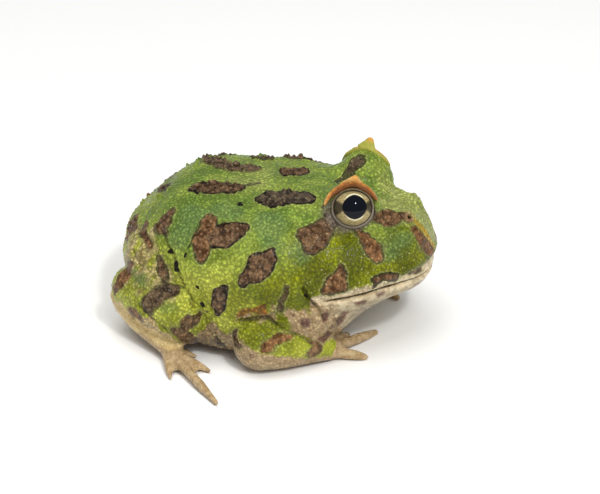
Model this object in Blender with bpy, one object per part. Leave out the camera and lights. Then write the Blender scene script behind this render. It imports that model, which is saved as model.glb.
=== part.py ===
"""An Argentine horned frog at life size, sitting on its belly with its head raised.

The frog faces +X, its right side is -Y and the floor is Z = 0. The shapes are drawn in millimetres and
brought to metres at the end. Head and body are one lofted trunk, parted at the neck and the mouth by thin
cuts. Each limb segment is a sausage along a curve, and each piece that lies against another is cut back
from it, so that a thin gap parts them.
"""

import math
import random

import bmesh
import bpy
import numpy as np
from mathutils import Matrix, Vector
from mathutils.bvhtree import BVHTree

METRES_PER_MM = 0.001
GAP = 0.3
SHARP_EDGE_DEG = 45.0
SIDES = ((1, "left"), (-1, "right"))

# The trunk from rump to snout, as cross-sections: place along the body, half width, height of the back,
# of the belly and of the widest line, and how square the section is above and below that line.
TRUNK_SECTIONS = (
    (-35.8, 0.0, 18.0, 18.0, 18.0, 2.0, 2.0),
    (-34.9, 7.6, 22.8, 12.5, 17.5, 2.1, 2.0),
    (-31.6, 13.6, 26.4, 6.5, 16.5, 2.15, 2.2),
    (-26.8, 18.4, 30.8, 2.0, 15.5, 2.25, 2.6),
    (-21.0, 22.6, 34.2, -0.7, 14.5, 2.5, 3.0),
    (-12.0, 26.4, 34.8, -1.0, 13.5, 2.6, 3.0),
    (-2.0, 27.2, 34.5, -1.0, 13.5, 2.5, 3.0),
    (7.0, 25.0, 35.1, -0.8, 14.5, 2.3, 2.8),
    (14.0, 22.4, 35.1, 0.8, 16.0, 2.05, 2.4),
    (19.0, 20.8, 34.3, 4.0, 17.4, 1.9, 2.3),
    (24.0, 18.3, 33.0, 7.8, 18.2, 1.9, 2.3),
    (29.0, 14.2, 31.2, 10.2, 18.9, 1.9, 2.3),
    (32.6, 9.5, 28.3, 12.4, 19.2, 2.0, 2.2),
    (34.7, 4.8, 24.0, 15.4, 19.4, 2.0, 2.0),
    (35.4, 0.0, 20.2, 20.2, 20.2, 2.0, 2.0),
)

# Swellings on each side, as egg shapes given for the left: middle and radii. The first two carry the eye.
LID_RADIUS = 6.1
EYE_CENTRE = Vector((17.8, 8.4, 33.2))
SWELLINGS = (
    (EYE_CENTRE, (LID_RADIUS,) * 3),
    (EYE_CENTRE + Vector((-3.0, -2.0, -1.4)), (7.6, 5.6, 4.6)),
    (Vector((10.0, 16.0, 10.5)), (7.4, 7.4, 8.0)),
    (Vector((29.4, 3.6, 29.0)), (2.6, 2.0, 2.3)),
    (Vector((13.0, 15.6, 21.0)), (6.5, 5.4, 6.0)),
)

# Eyes: the eyeball's radius, the way the eye looks, and the opening between the lids, which sits a little
# lower and is wider than it is high.
EYE_RADIUS = 5.0
GAZE = Vector((0.17, 0.875, 0.45)).normalized()
LID_AXIS = Vector((0.17, 0.92, 0.34)).normalized()
LID_OPENING_DEG = 59.0
LID_FLATNESS = 0.86

# The horn on each upper lid: foot, point, length and thickness at the foot, and how deep it is rooted.
HORN_FOOT = Vector((17.8, 9.6, 36.4))
HORN_POINT = Vector((18.0, 10.6, 41.6))
HORN_LENGTH = 11.6
HORN_THICKNESS = 3.8
HORN_ROOT = 2.5

# The mouth is a nearly level line that rises to the front. The neck is parted along a bent line. Both are
# given in side view, as place along the body and height.
MOUTH_BACK = (10.0, 16.5)
MOUTH_FRONT = (35.4, 19.6)
NECK_LINE = ((4.6, 39.0), (9.0, 21.0), (11.4, 16.6), (17.0, 10.0), (18.0, -3.0))
CUT_HALF_WIDTH = 40.0

# Across the mouth: height above its line, width, and how far the skin is pushed out there. They are the
# upper lip, the crease between the lips and the hollow under the lower lip. They start behind this place.
LIP_BANDS = ((1.5, 1.3, 0.45), (-0.2, 0.55, -0.7), (-2.0, 1.6, -0.35))
LIPS_FROM_X, LIPS_FADE = 13.0, 0.8

# The hollow between the eyes: where its middle lies, half length, half width and depth.
BROW_HOLLOW_X, BROW_HOLLOW_LENGTH, BROW_HOLLOW_WIDTH, BROW_HOLLOW_DEPTH = 22.0, 8.0, 2.6, 0.7
BROW_ABOVE = 25.0

NOSTRIL = Vector((30.2, 4.2, 30.6))
NOSTRIL_RADIUS = 0.7

# Folds and ridges of the left side: points on the skin, width, and height, which is below zero for a groove.
# They are the ridge from eye to nostril, the hollow under it, the ridge along the back, the fold behind the
# cheek, and two grooves of the flank.
FOLDS = (
    (((22.0, 9.6, 32.4), (26.0, 6.6, 32.4), (29.4, 4.6, 31.4)), 1.5, 0.5),
    (((23.0, 12.6, 29.0), (28.0, 8.6, 28.0)), 2.2, -0.35),
    (((12.4, 11.6, 33.4), (5.0, 14.0, 33.6), (-3.0, 15.4, 33.2)), 2.4, 0.45),
    (((12.6, 15.0, 31.0), (10.0, 20.0, 26.0), (8.4, 23.6, 20.0), (8.0, 24.6, 16.0)), 1.6, 0.45),
    (((6.0, 23.6, 22.0), (4.0, 25.6, 17.0), (-3.0, 27.0, 13.0)), 1.5, -0.5),
    (((-14.0, 25.6, 20.0), (-13.0, 26.4, 14.0), (-11.0, 26.6, 8.0)), 1.5, -0.45),
)

# Groups of warts on the back, seen from above: middle, half length, half width, and how many.
WART_GROUPS = (
    ((-12.0, 5.2), 5.0, 1.6, 4),
    ((-13.5, -7.2), 4.6, 1.5, 4),
    ((4.0, 14.0), 6.0, 1.8, 5),
    ((-24.0, 13.0), 2.0, 2.0, 2),
    ((-27.0, -3.4), 1.4, 2.4, 2),
    ((2.5, -8.4), 4.0, 1.4, 3),
    ((-11.0, -19.0), 4.0, 3.0, 4),
    ((0.0, -23.0), 3.0, 1.6, 3),
    ((-8.0, 20.0), 4.0, 2.6, 4),
    ((-20.0, 6.0), 3.0, 4.0, 3),
    ((-32.6, 4.0), 1.0, 4.6, 3),
)
WART_RADIUS = (0.8, 1.2)
WART_HEIGHT = (0.55, 0.95)
WART_ROOT = 0.7
WART_TOP_SHARE = 0.3
WART_CLEAR_OF_NECK = 2.2
WART_SEED = 11

# Limbs of the left side as points along their middle lines, with the radius there: x, y, z, radius.
UPPER_ARM = ((12.0, 14.8, 12.8, 6.0), (9.4, 18.8, 11.4, 6.8), (4.6, 21.6, 11.0, 5.4), (0.6, 22.8, 10.2, 4.6))
FOREARM = ((0.4, 25.0, 6.2, 6.3), (6.2, 22.8, 5.3, 5.4), (10.8, 20.6, 3.9, 3.9), (14.2, 18.9, 2.8, 2.8))
THIGH = ((-27.6, 8.0, 18.0, 7.5), (-25.8, 13.6, 18.2, 7.0), (-22.4, 18.6, 15.6, 6.2))
SHANK = ((-17.6, 22.4, 9.8, 6.8), (-23.6, 20.2, 11.4, 6.7), (-30.2, 15.8, 11.8, 5.8))
TARSUS = ((-33.0, 14.6, 9.2, 4.0), (-29.8, 18.4, 6.8, 3.5), (-26.0, 21.2, 5.0, 3.1), (-17.8, 27.8, 2.4, 2.2))

# Palm and sole, as egg shapes: middle, radii and turn. The sole has a digging spade and two webs.
PALM = ((14.8, 17.8, 2.2), (3.2, 3.2, 2.1), -45.0)
SOLE = (
    ((-19.2, 26.2, 1.9), (3.4, 3.0, 1.8), 45.0),
    ((-19.6, 23.4, 1.3), (2.0, 1.0, 1.3), 20.0),
    ((-15.2, 29.8, 1.2), (3.6, 2.5, 0.95), 45.0),
    ((-18.0, 29.8, 1.2), (2.3, 2.6, 0.95), 20.0),
)

# Fingers and toes of the left side: root and tip seen from above, and radius at the root.
FINGERS = (
    ((13.6, 17.4), (13.4, 9.4), 1.15),
    ((14.4, 17.0), (17.0, 8.0), 1.15),
    ((15.0, 17.4), (23.0, 5.8), 1.2),
    ((15.4, 18.6), (22.6, 17.4), 1.2),
)
TOES = (
    ((-20.6, 23.8), (-16.6, 22.6), 1.1),
    ((-19.8, 25.0), (-14.6, 24.2), 1.15),
    ((-19.0, 26.6), (-10.2, 30.0), 1.3),
    ((-18.6, 28.2), (-5.6, 43.0), 1.4),
    ((-21.0, 26.2), (-17.9, 34.6), 1.25),
)
DIGIT_ROOT_HEIGHT = 1.8
TIP_SHARE = 0.62

# The left arm is turned back a little, so that the two arms don't match like mirror images.
LEFT_ARM_PIVOT = (5.0, 17.0, 0.0)
LEFT_ARM_TURN_DEG = 17.0
LEFT_ARM_PIECES = ("upper_arm", "forearm", "hand")

# How finely each piece is fused, and how many triangles it keeps before its neighbours are cut from it.
TRUNK_VOXEL, SEGMENT_VOXEL, DIGIT_VOXEL = 0.75, 0.8, 0.4
TRIANGLES = {
    "trunk": 4600,
    "upper_arm": 300,
    "forearm": 360,
    "hand": 700,
    "thigh": 320,
    "shank": 340,
    "foot": 780,
}

SKIN_GREEN = (0.22, 0.36, 0.04, 1.0)
PALE_YELLOW = (0.60, 0.50, 0.25, 1.0)
HORN_ORANGE = (0.55, 0.27, 0.08, 1.0)
THROAT_CREAM = (0.56, 0.50, 0.36, 1.0)
EYE_DARK = (0.03, 0.03, 0.035, 1.0)


# Scene and materials
def clear_scene():
    for obj in list(bpy.data.objects):
        bpy.data.objects.remove(obj)


def material(name, colour, roughness):
    made = bpy.data.materials.new(name)
    made.use_nodes = True
    shader = made.node_tree.nodes["Principled BSDF"]
    shader.inputs["Base Color"].default_value = colour
    shader.inputs["Roughness"].default_value = roughness
    shader.inputs["Metallic"].default_value = 0.0
    made.diffuse_color = colour
    return made


# Objects and their meshes
def place_mesh(name, shape):
    mesh = bpy.data.meshes.new(name)
    shape.to_mesh(mesh)
    shape.free()
    obj = bpy.data.objects.new(name, mesh)
    bpy.context.scene.collection.objects.link(obj)
    return obj


def object_of(name, shape):
    """A new object that holds a finished bmesh, its faces turned outwards."""
    bmesh.ops.recalc_face_normals(shape, faces=shape.faces)
    return place_mesh(name, shape)


def joined(name, pieces):
    """Several closed shapes in one object, still overlapping."""
    whole = bmesh.new()
    for piece in pieces:
        whole.from_mesh(piece.data)
        bpy.data.objects.remove(piece)
    return place_mesh(name, whole)


def apply_modifiers(obj):
    bpy.context.view_layer.update()
    graph = bpy.context.evaluated_depsgraph_get()
    finished = bpy.data.meshes.new_from_object(obj.evaluated_get(graph))
    obj.modifiers.clear()
    obj.data = finished
    return obj


def points_of(obj):
    places = np.empty(len(obj.data.vertices) * 3, np.float32)
    obj.data.vertices.foreach_get("co", places)
    return places.reshape(-1, 3).astype(float)


def normals_of(obj):
    ways = np.empty(len(obj.data.vertices) * 3, np.float32)
    obj.data.vertex_normals.foreach_get("vector", ways)
    return ways.reshape(-1, 3).astype(float)


def set_points(obj, places):
    obj.data.vertices.foreach_set("co", places.astype(np.float32).ravel())
    obj.data.update()


def fuse(obj, voxel, rounds):
    """Melts overlapping shapes into one skin, then evens it out."""
    remesh = obj.modifiers.new("fuse", "REMESH")
    remesh.mode = "VOXEL"
    remesh.voxel_size = voxel
    smooth = obj.modifiers.new("even", "SMOOTH")
    smooth.factor = 0.5
    smooth.iterations = rounds
    return apply_modifiers(obj)


def thin_out(obj, triangles):
    now = sum(len(face.vertices) - 2 for face in obj.data.polygons)
    fewer = obj.modifiers.new("fewer", "DECIMATE")
    fewer.ratio = min(1.0, triangles / now)
    fewer.use_collapse_triangulate = True
    return apply_modifiers(obj)


def rest_on_floor(obj):
    """Presses whatever lies below the floor flat on it."""
    places = points_of(obj)
    places[:, 2] = np.maximum(places[:, 2], 0.0)
    set_points(obj, places)


def loose_pieces(obj):
    """The closed surfaces of an object as bmeshes, the largest first."""
    whole = bmesh.new()
    whole.from_mesh(obj.data)
    bmesh.ops.remove_doubles(whole, verts=whole.verts, dist=0.001)
    left = set(whole.verts)
    groups = []
    while left:
        seed = left.pop()
        group, edge = {seed}, [seed]
        while edge:
            for link in edge.pop().link_edges:
                for vertex in link.verts:
                    if vertex in left:
                        left.discard(vertex)
                        group.add(vertex)
                        edge.append(vertex)
        groups.append({vertex.index for vertex in group})
    made = []
    for group in groups:
        piece = whole.copy()
        others = [vertex for vertex in piece.verts if vertex.index not in group]
        bmesh.ops.delete(piece, geom=others, context="VERTS")
        made.append(piece)
    whole.free()
    return sorted(made, key=lambda piece: -abs(piece.calc_volume()))


def keep_largest(obj):
    pieces = loose_pieces(obj)
    bmesh.ops.triangulate(pieces[0], faces=pieces[0].faces)
    pieces[0].to_mesh(obj.data)
    for piece in pieces:
        piece.free()
    return obj


def cut(obj, cutter):
    """Cuts a shape from an object, and removes the cutter."""
    difference = obj.modifiers.new("cut", "BOOLEAN")
    difference.operation = "DIFFERENCE"
    difference.solver = "EXACT"
    difference.object = cutter
    apply_modifiers(obj)
    bpy.data.objects.remove(cutter)
    return obj


def grown(obj, distance):
    """A copy whose faces stand off by this distance."""
    made = bpy.data.objects.new(obj.name + "_grown", obj.data.copy())
    bpy.context.scene.collection.objects.link(made)
    set_points(made, points_of(made) + normals_of(made) * distance)
    return made


def fit_against(obj, neighbours):
    """Cuts a piece back from its neighbours, with the gap that touching pieces keep."""
    for neighbour in neighbours:
        cut(obj, grown(neighbour, GAP))
    return keep_largest(obj)


# Basic shapes
def through(rows, where):
    """Rows of numbers read as one smooth curve at the places where, from 0 to 1. The first and last rows
    only give the slope at the ends."""
    rows = np.asarray(rows, float)
    place = np.clip(np.asarray(where, float), 0.0, 1.0) * (len(rows) - 3)
    start = np.minimum(place.astype(int), len(rows) - 4)
    share = (place - start)[:, None]
    before, first, second, after = (rows[start + k] for k in range(4))
    slope_in, slope_out = (second - before) / 2, (after - first) / 2
    return (
        (2 * share**3 - 3 * share**2 + 1) * first
        + (share**3 - 2 * share**2 + share) * slope_in
        + (3 * share**2 - 2 * share**3) * second
        + (share**3 - share**2) * slope_out
    )


def unit_sphere(around, along):
    shape = bmesh.new()
    bmesh.ops.create_uvsphere(shape, u_segments=around, v_segments=along, radius=1.0)
    return shape


def angles_of(shape):
    """For each vertex of a unit sphere, its share of the way from pole to pole and its angle round it."""
    places = np.array([vertex.co for vertex in shape.verts])
    share = np.arccos(np.clip(-places[:, 2], -1, 1)) / math.pi
    return share, np.arctan2(places[:, 1], places[:, 0])


def move_vertices(shape, places):
    for vertex, place in zip(shape.verts, places):
        vertex.co = place


def aim(shape, way, place):
    """Turns a shape drawn along +Z to look along a way, and moves it to its place."""
    turn = Vector((0, 0, 1)).rotation_difference(way).to_matrix()
    bmesh.ops.rotate(shape, matrix=turn, verts=shape.verts)
    bmesh.ops.translate(shape, vec=place, verts=shape.verts)


def egg(name, centre, radii, turn_deg=0.0):
    """An ellipsoid, turned about the vertical."""
    shape = unit_sphere(24, 16)
    bmesh.ops.scale(shape, vec=Vector(radii), verts=shape.verts)
    turn = Matrix.Rotation(math.radians(turn_deg), 3, "Z")
    bmesh.ops.rotate(shape, matrix=turn, verts=shape.verts)
    bmesh.ops.translate(shape, vec=Vector(centre), verts=shape.verts)
    return object_of(name, shape)


def sausage(name, route, around=20, along=30, end_share=0.2):
    """A round limb along a smooth route of x, y, z and radius, with round ends."""
    rows = np.array(route, float)
    rows = np.vstack([2 * rows[0] - rows[1], rows, 2 * rows[-1] - rows[-2]])
    shape = unit_sphere(around, along)
    share, turn = angles_of(shape)
    middle = np.clip((share - end_share) / (1 - 2 * end_share), 0, 1)
    step = 0.01
    places = through(rows, middle)
    ahead = through(rows, middle + step) - through(rows, middle - step)
    forward = ahead[:, :3] / np.linalg.norm(ahead[:, :3], axis=1)[:, None]
    side = np.cross(forward, (0.0, 0.0, 1.0))
    side /= np.linalg.norm(side, axis=1)[:, None]
    up = np.cross(side, forward)
    radius = places[:, 3]
    lean = np.clip(np.minimum(share, 1 - share) / end_share, 0, 1) * math.pi / 2
    beyond = np.sign(share - 0.5) * np.cos(lean) * radius
    ring = radius * np.sin(lean)
    around_x, around_y = ring * np.cos(turn), ring * np.sin(turn)
    spots = places[:, :3] + forward * beyond[:, None] + side * around_x[:, None] + up * around_y[:, None]
    move_vertices(shape, spots)
    return object_of(name, shape)


def sheet(name, line):
    """An upright sheet as thick as the gap, through a line in side view and wider than the animal."""
    shape = bmesh.new()
    rows = [[shape.verts.new((x, y, z)) for y in (-CUT_HALF_WIDTH, CUT_HALF_WIDTH)] for x, z in line]
    for (a, b), (c, d) in zip(rows, rows[1:]):
        shape.faces.new((a, b, d, c))
    made = object_of(name, shape)
    thick = made.modifiers.new("thick", "SOLIDIFY")
    thick.thickness = GAP
    thick.offset = 0.0
    return apply_modifiers(made)


def to_side(vector, side):
    """A place or way given for the left, turned to this side."""
    return Vector((vector.x, vector.y * side, vector.z))


def mirror_to(obj, side):
    if side < 0:
        obj.data.transform(Matrix.Scale(-1.0, 4, Vector((0, 1, 0))))
        obj.data.flip_normals()
    return obj


# Head and body
def trunk_loft():
    """Head and body: a sphere drawn out along the cross-sections, with a round end at rump and snout."""

    def turned_over(section):
        x, half, top, bottom, widest, above, below = section
        return x, -half, bottom, top, widest, above, below

    rows = [turned_over(TRUNK_SECTIONS[1]), *TRUNK_SECTIONS, turned_over(TRUNK_SECTIONS[-2])]
    shape = unit_sphere(72, 90)
    share, turn = angles_of(shape)
    x, half, top, bottom, widest, above, below = through(rows, share).T
    rise, out = np.sin(turn), np.cos(turn)
    square = np.where(rise > 0, above, below)
    height = np.where(rise > 0, top - widest, widest - bottom)
    y = half * np.sign(out) * np.abs(out) ** (2 / square)
    z = widest + height * np.sign(rise) * np.abs(rise) ** (2 / square)
    move_vertices(shape, np.stack([x, y, z], axis=1))
    return object_of("trunk", shape)


def bell(distance, width):
    return np.exp(-((distance / width) ** 2))


def mouth_height(x):
    (back, low), (front, high) = MOUTH_BACK, MOUTH_FRONT
    return low + (x - back) * (high - low) / (front - back)


def shape_lips(obj):
    """Shapes the lips along the line of the mouth, and hollows the brow between the eyes."""
    places, ways = points_of(obj), normals_of(obj)
    x, y, z = places.T
    above = z - mouth_height(x)
    on_mouth = 1 / (1 + np.exp((LIPS_FROM_X - x) / LIPS_FADE)) * (np.abs(ways[:, 2]) < 0.95)
    push = sum(height * bell(above - level, width) for level, width, height in LIP_BANDS) * on_mouth
    hollow = bell(y, BROW_HOLLOW_WIDTH) * bell(x - BROW_HOLLOW_X, BROW_HOLLOW_LENGTH)
    push -= BROW_HOLLOW_DEPTH * hollow * (z > BROW_ABOVE)
    set_points(obj, places + ways * push[:, None])


def distance_to_route(places, route):
    """How far each place is from a chain of straight stretches."""
    nearest = np.full(len(places), np.inf)
    for start, end in zip(route, route[1:]):
        start, along = np.array(start), np.subtract(end, start)
        share = np.clip((places - start) @ along / (along @ along), 0, 1)
        gaps = np.linalg.norm(places - start - share[:, None] * along, axis=1)
        nearest = np.minimum(nearest, gaps)
    return nearest


def shape_folds(obj):
    places, ways = points_of(obj), normals_of(obj)
    push = np.zeros(len(places))
    for route, width, height in FOLDS:
        for side, _ in SIDES:
            turned = [(x, y * side, z) for x, y, z in route]
            push += height * bell(distance_to_route(places, turned), width)
    set_points(obj, places + ways * push[:, None])


def trunk_solid():
    pieces = [trunk_loft()]
    for side, _ in SIDES:
        pieces += [egg("swelling", to_side(centre, side), radii) for centre, radii in SWELLINGS]
    trunk = fuse(joined("trunk", pieces), TRUNK_VOXEL, 9)
    shape_lips(trunk)
    shape_folds(trunk)
    thin_out(trunk, TRIANGLES["trunk"])
    rest_on_floor(trunk)
    return trunk


def part_in_two(obj, line, names, forward):
    """Parts an object along a line in side view. The names go from low to high in the way given."""
    cut(obj, sheet("parting", line))
    pieces = loose_pieces(obj)[:2]
    bpy.data.objects.remove(obj)
    ends = sorted(pieces, key=lambda piece: max(vertex.co.dot(forward) for vertex in piece.verts))
    return [keep_largest(object_of(name, piece)) for name, piece in zip(names, ends)]


def part_trunk(trunk):
    """Parts the trunk at the neck and the mouth into torso, head and lower jaw."""
    torso, head = part_in_two(trunk, NECK_LINE, ("torso", "whole_head"), Vector((1, 0, 0)))
    mouth = [(x, mouth_height(x)) for x in (MOUTH_BACK[0] - 12.0, MOUTH_FRONT[0] + 6.0)]
    jaw, skull = part_in_two(head, mouth, ("lower_jaw", "head"), Vector((0, 0, 1)))
    return torso, skull, jaw


# Warts
def wart(place, way, radius, height):
    """A small six-sided cone, its root sunk in the skin."""
    shape = bmesh.new()
    depth = height + WART_ROOT
    top = radius * WART_TOP_SHARE
    bmesh.ops.create_cone(shape, cap_ends=True, segments=6, radius1=radius, radius2=top, depth=depth)
    bmesh.ops.translate(shape, vec=(0, 0, (height - WART_ROOT) / 2), verts=shape.verts)
    aim(shape, way, place)
    return object_of("wart", shape)


def neck_x(z):
    xs, zs = zip(*sorted(NECK_LINE, key=lambda spot: spot[1]))
    return float(np.interp(z, zs, xs))


def wart_spots(torso, chance):
    """Places and ways for the warts, spread at random in each group and dropped on the back."""
    corners = [vertex.co.copy() for vertex in torso.data.vertices]
    back = BVHTree.FromPolygons(corners, [tuple(face.vertices) for face in torso.data.polygons])
    for (x, y), half_length, half_width, count in WART_GROUPS:
        for k in range(count):
            angle = 2 * math.pi * (k + chance.random()) / count
            reach = chance.uniform(0.45, 1.0)
            across, along = math.sin(angle) * reach * half_width, math.cos(angle) * reach * half_length
            place, way, _, _ = back.ray_cast(Vector((x + along, y + across, 60.0)), Vector((0, 0, -1)))
            if place is not None and neck_x(place.z) - place.x > WART_CLEAR_OF_NECK:
                yield place, way


def add_warts(torso):
    """Joins the warts to the back in one union."""
    chance = random.Random(WART_SEED)
    warts = bpy.data.collections.new("warts")
    for place, way in list(wart_spots(torso, chance)):
        made = wart(place, way, chance.uniform(*WART_RADIUS), chance.uniform(*WART_HEIGHT))
        bpy.context.scene.collection.objects.unlink(made)
        warts.objects.link(made)
    union = torso.modifiers.new("warts", "BOOLEAN")
    union.operation = "UNION"
    union.solver = "EXACT"
    union.operand_type = "COLLECTION"
    union.collection = warts
    apply_modifiers(torso)
    for made in list(warts.objects):
        bpy.data.objects.remove(made)
    bpy.data.collections.remove(warts)
    return keep_largest(torso)


# Eyes, horns and nostrils
def eyeball(name, side, radius):
    shape = unit_sphere(20, 12)
    bmesh.ops.scale(shape, vec=(radius,) * 3, verts=shape.verts)
    aim(shape, to_side(GAZE, side), to_side(EYE_CENTRE, side))
    return object_of(name, shape)


def lid_opening(side):
    """A cone from the eyeball's middle outwards, flatter than it is wide."""
    shape = bmesh.new()
    length = LID_RADIUS * 1.5
    wide = length * math.tan(math.radians(LID_OPENING_DEG))
    bmesh.ops.create_cone(shape, cap_ends=True, segments=28, radius1=0.0, radius2=wide, depth=length)
    bmesh.ops.remove_doubles(shape, verts=shape.verts, dist=0.0001)
    bmesh.ops.scale(shape, vec=(1.0, LID_FLATNESS, 1.0), verts=shape.verts)
    bmesh.ops.translate(shape, vec=(0, 0, length / 2), verts=shape.verts)
    aim(shape, to_side(LID_AXIS, side), to_side(EYE_CENTRE, side))
    return object_of("opening", shape)


def open_head(trunk):
    """Opens the lids, makes room for the eyeballs and sinks the nostrils."""
    for side, _ in SIDES:
        cut(trunk, lid_opening(side))
        cut(trunk, eyeball("room", side, EYE_RADIUS + GAP))
        cut(trunk, egg("pit", to_side(NOSTRIL, side), (NOSTRIL_RADIUS,) * 3))
    return keep_largest(trunk)


def horn(name, side, head):
    """The pointed flap on the upper lid: a three-cornered sheet of skin with hollow sides."""
    foot, point = to_side(HORN_FOOT, side), to_side(HORN_POINT, side)
    shape = unit_sphere(14, 9)
    share, turn = angles_of(shape)
    up = np.clip((share - 0.2) / 0.8, 0, 1)
    closing = np.minimum(1 - share, 0.06) / 0.06
    rounded = np.sin(np.minimum(share, 0.5) * math.pi) * np.sin(closing * math.pi / 2)
    width = HORN_LENGTH / 2 * (0.94 * (1 - up) ** 1.25 + 0.06) * rounded
    thick = HORN_THICKNESS / 2 * (0.85 * (1 - up) + 0.15) * rounded
    height = share * ((point - foot).length + HORN_ROOT) - HORN_ROOT
    move_vertices(shape, np.stack([width * np.cos(turn), thick * np.sin(turn), height], axis=1))
    aim(shape, point - foot, foot)
    made = object_of(name, shape)
    cut(made, eyeball("room", side, EYE_RADIUS + GAP))
    return fit_against(made, [head])


# Limbs
def digit(name, root, tip, radius):
    """A finger or toe from the palm down to the floor, a little arched and blunt at the tip."""
    (x0, y0), (x1, y1) = root, tip
    tip_radius = radius * TIP_SHARE
    stops = (
        (0.0, DIGIT_ROOT_HEIGHT, radius * 1.05),
        (0.35, radius * 1.35, radius),
        (0.7, radius * 0.97, radius * 0.95),
        (1.0, tip_radius * 0.9, tip_radius),
    )
    route = [(x0 + (x1 - x0) * share, y0 + (y1 - y0) * share, z, size) for share, z, size in stops]
    return sausage(name, route, around=12)


def hand_solid(name):
    pieces = [egg("palm", *PALM)]
    pieces += [digit("finger", *finger) for finger in FINGERS]
    return thin_out(fuse(joined(name, pieces), DIGIT_VOXEL, 4), TRIANGLES["hand"])


def foot_solid(name):
    pieces = [sausage("tarsus", TARSUS)]
    pieces += [egg("sole", *lump) for lump in SOLE]
    pieces += [digit("toe", *toe) for toe in TOES]
    return thin_out(fuse(joined(name, pieces), DIGIT_VOXEL, 4), TRIANGLES["foot"])


def segment(name, route, key):
    return thin_out(fuse(sausage(name, route), SEGMENT_VOXEL, 3), TRIANGLES[key])


def turn_about(obj, centre, angle_deg):
    place = Matrix.Translation(Vector(centre))
    turn = Matrix.Rotation(math.radians(angle_deg), 4, "Z")
    obj.data.transform(place @ turn @ place.inverted())


def limbs(side, word, trunk):
    """The arm and leg of one side, each piece cut back from those it lies against."""
    made = {
        "upper_arm": segment(f"{word}_upper_arm", UPPER_ARM, "upper_arm"),
        "forearm": segment(f"{word}_forearm", FOREARM, "forearm"),
        "hand": hand_solid(f"{word}_hand"),
        "thigh": segment(f"{word}_thigh", THIGH, "thigh"),
        "shank": segment(f"{word}_shank", SHANK, "shank"),
        "foot": foot_solid(f"{word}_foot"),
    }
    for key, solid in made.items():
        if side > 0 and key in LEFT_ARM_PIECES:
            turn_about(solid, LEFT_ARM_PIVOT, LEFT_ARM_TURN_DEG)
        rest_on_floor(mirror_to(solid, side))
    fit_against(made["forearm"], [trunk])
    fit_against(made["upper_arm"], [trunk, made["forearm"]])
    fit_against(made["hand"], [trunk, made["forearm"], made["upper_arm"]])
    fit_against(made["thigh"], [trunk])
    fit_against(made["shank"], [trunk, made["thigh"]])
    fit_against(made["foot"], [trunk, made["thigh"], made["shank"]])
    return made


def finish(obj, look):
    """Brings a finished solid to metres and gives it its material."""
    obj.data.transform(Matrix.Scale(METRES_PER_MM, 4))
    obj.data.materials.clear()
    obj.data.materials.append(look)
    obj.data.shade_smooth()
    obj.data.set_sharp_from_angle(angle=math.radians(SHARP_EDGE_DEG))


def main():
    clear_scene()
    skin = material("moist_skin_green", SKIN_GREEN, 0.45)
    pale = material("foot_skin_yellow", PALE_YELLOW, 0.45)
    orange = material("lid_horn_orange", HORN_ORANGE, 0.5)
    cream = material("throat_skin_cream", THROAT_CREAM, 0.5)
    wet = material("wet_eye", EYE_DARK, 0.08)
    trunk = trunk_solid()
    made = []
    for side, word in SIDES:
        for key, solid in limbs(side, word, trunk).items():
            made.append((solid, pale if key in ("hand", "foot") else skin))
    open_head(trunk)
    for side, word in SIDES:
        made.append((horn(f"{word}_horn", side, trunk), orange))
        made.append((eyeball(f"{word}_eye", side, EYE_RADIUS), wet))
    torso, head, jaw = part_trunk(trunk)
    made += [(add_warts(torso), skin), (head, skin), (jaw, cream)]
    for obj, look in made:
        finish(obj, look)


main()
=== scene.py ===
"""Looks of a life-size Argentine horned frog that rests on its belly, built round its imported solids.

The frog faces +X and its right side is -Y. Shapes are worked in millimetres and brought to metres when
they are finished. One skin covers all the flesh, and the eyes, lids and horns are pieces of their own.
"""

import math

import bmesh
import bpy
import numpy as np
from mathutils import Matrix, Vector
from mathutils.kdtree import KDTree


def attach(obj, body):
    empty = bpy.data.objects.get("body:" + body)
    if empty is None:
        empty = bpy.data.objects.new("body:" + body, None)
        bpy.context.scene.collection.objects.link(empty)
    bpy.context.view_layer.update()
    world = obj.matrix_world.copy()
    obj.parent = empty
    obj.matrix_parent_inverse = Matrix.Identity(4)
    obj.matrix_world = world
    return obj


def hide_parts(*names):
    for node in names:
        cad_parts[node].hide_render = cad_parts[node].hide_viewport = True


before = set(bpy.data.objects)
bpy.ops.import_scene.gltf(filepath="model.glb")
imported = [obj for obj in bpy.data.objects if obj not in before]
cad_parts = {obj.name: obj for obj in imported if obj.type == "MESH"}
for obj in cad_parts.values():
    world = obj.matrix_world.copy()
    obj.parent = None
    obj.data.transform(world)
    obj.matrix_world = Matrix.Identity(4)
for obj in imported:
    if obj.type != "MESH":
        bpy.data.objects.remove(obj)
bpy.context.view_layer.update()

MM = 0.001
SIDES = ((-1, "right"), (1, "left"))
LIMB_PARTS = ("upper_arm", "forearm", "hand", "thigh", "shank", "foot")
FLESH = ("torso", "head", "lower_jaw", *(f"{word}_{part}" for _, word in SIDES for part in LIMB_PARTS))

# The photograph's view: the camera's azimuth and elevation, its distance, and how many millimetres one of
# the picture's 600 x 494 pixels spans at the right eye, which shows at this pixel.
PHOTO_WIDTH, PHOTO_HEIGHT = 600, 494
VIEW_AZIMUTH, VIEW_ELEVATION = 11.0, 27.0
VIEW_DISTANCE, MM_PER_PIXEL = 450.0, 0.22
VIEWED_EYE, EYE_PIXEL = Vector((18.0, -9.0, 34.0)), (353.0, 205.0)
SENSOR_WIDTH = 36.0

# The left eye. The lids open round one axis and the pupil looks along another.
EYE_CENTRE, EYE_RADIUS = Vector((17.8, 8.4, 33.2)), 5.0
GAZE = Vector((0.25, 0.86, 0.43)).normalized()
LID_AXIS = Vector((0.17, 0.92, 0.34)).normalized()
OPENING_HALF = (4.15, 3.75)
HORN_POINT = Vector((18.8, 10.6, 41.5))

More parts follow.
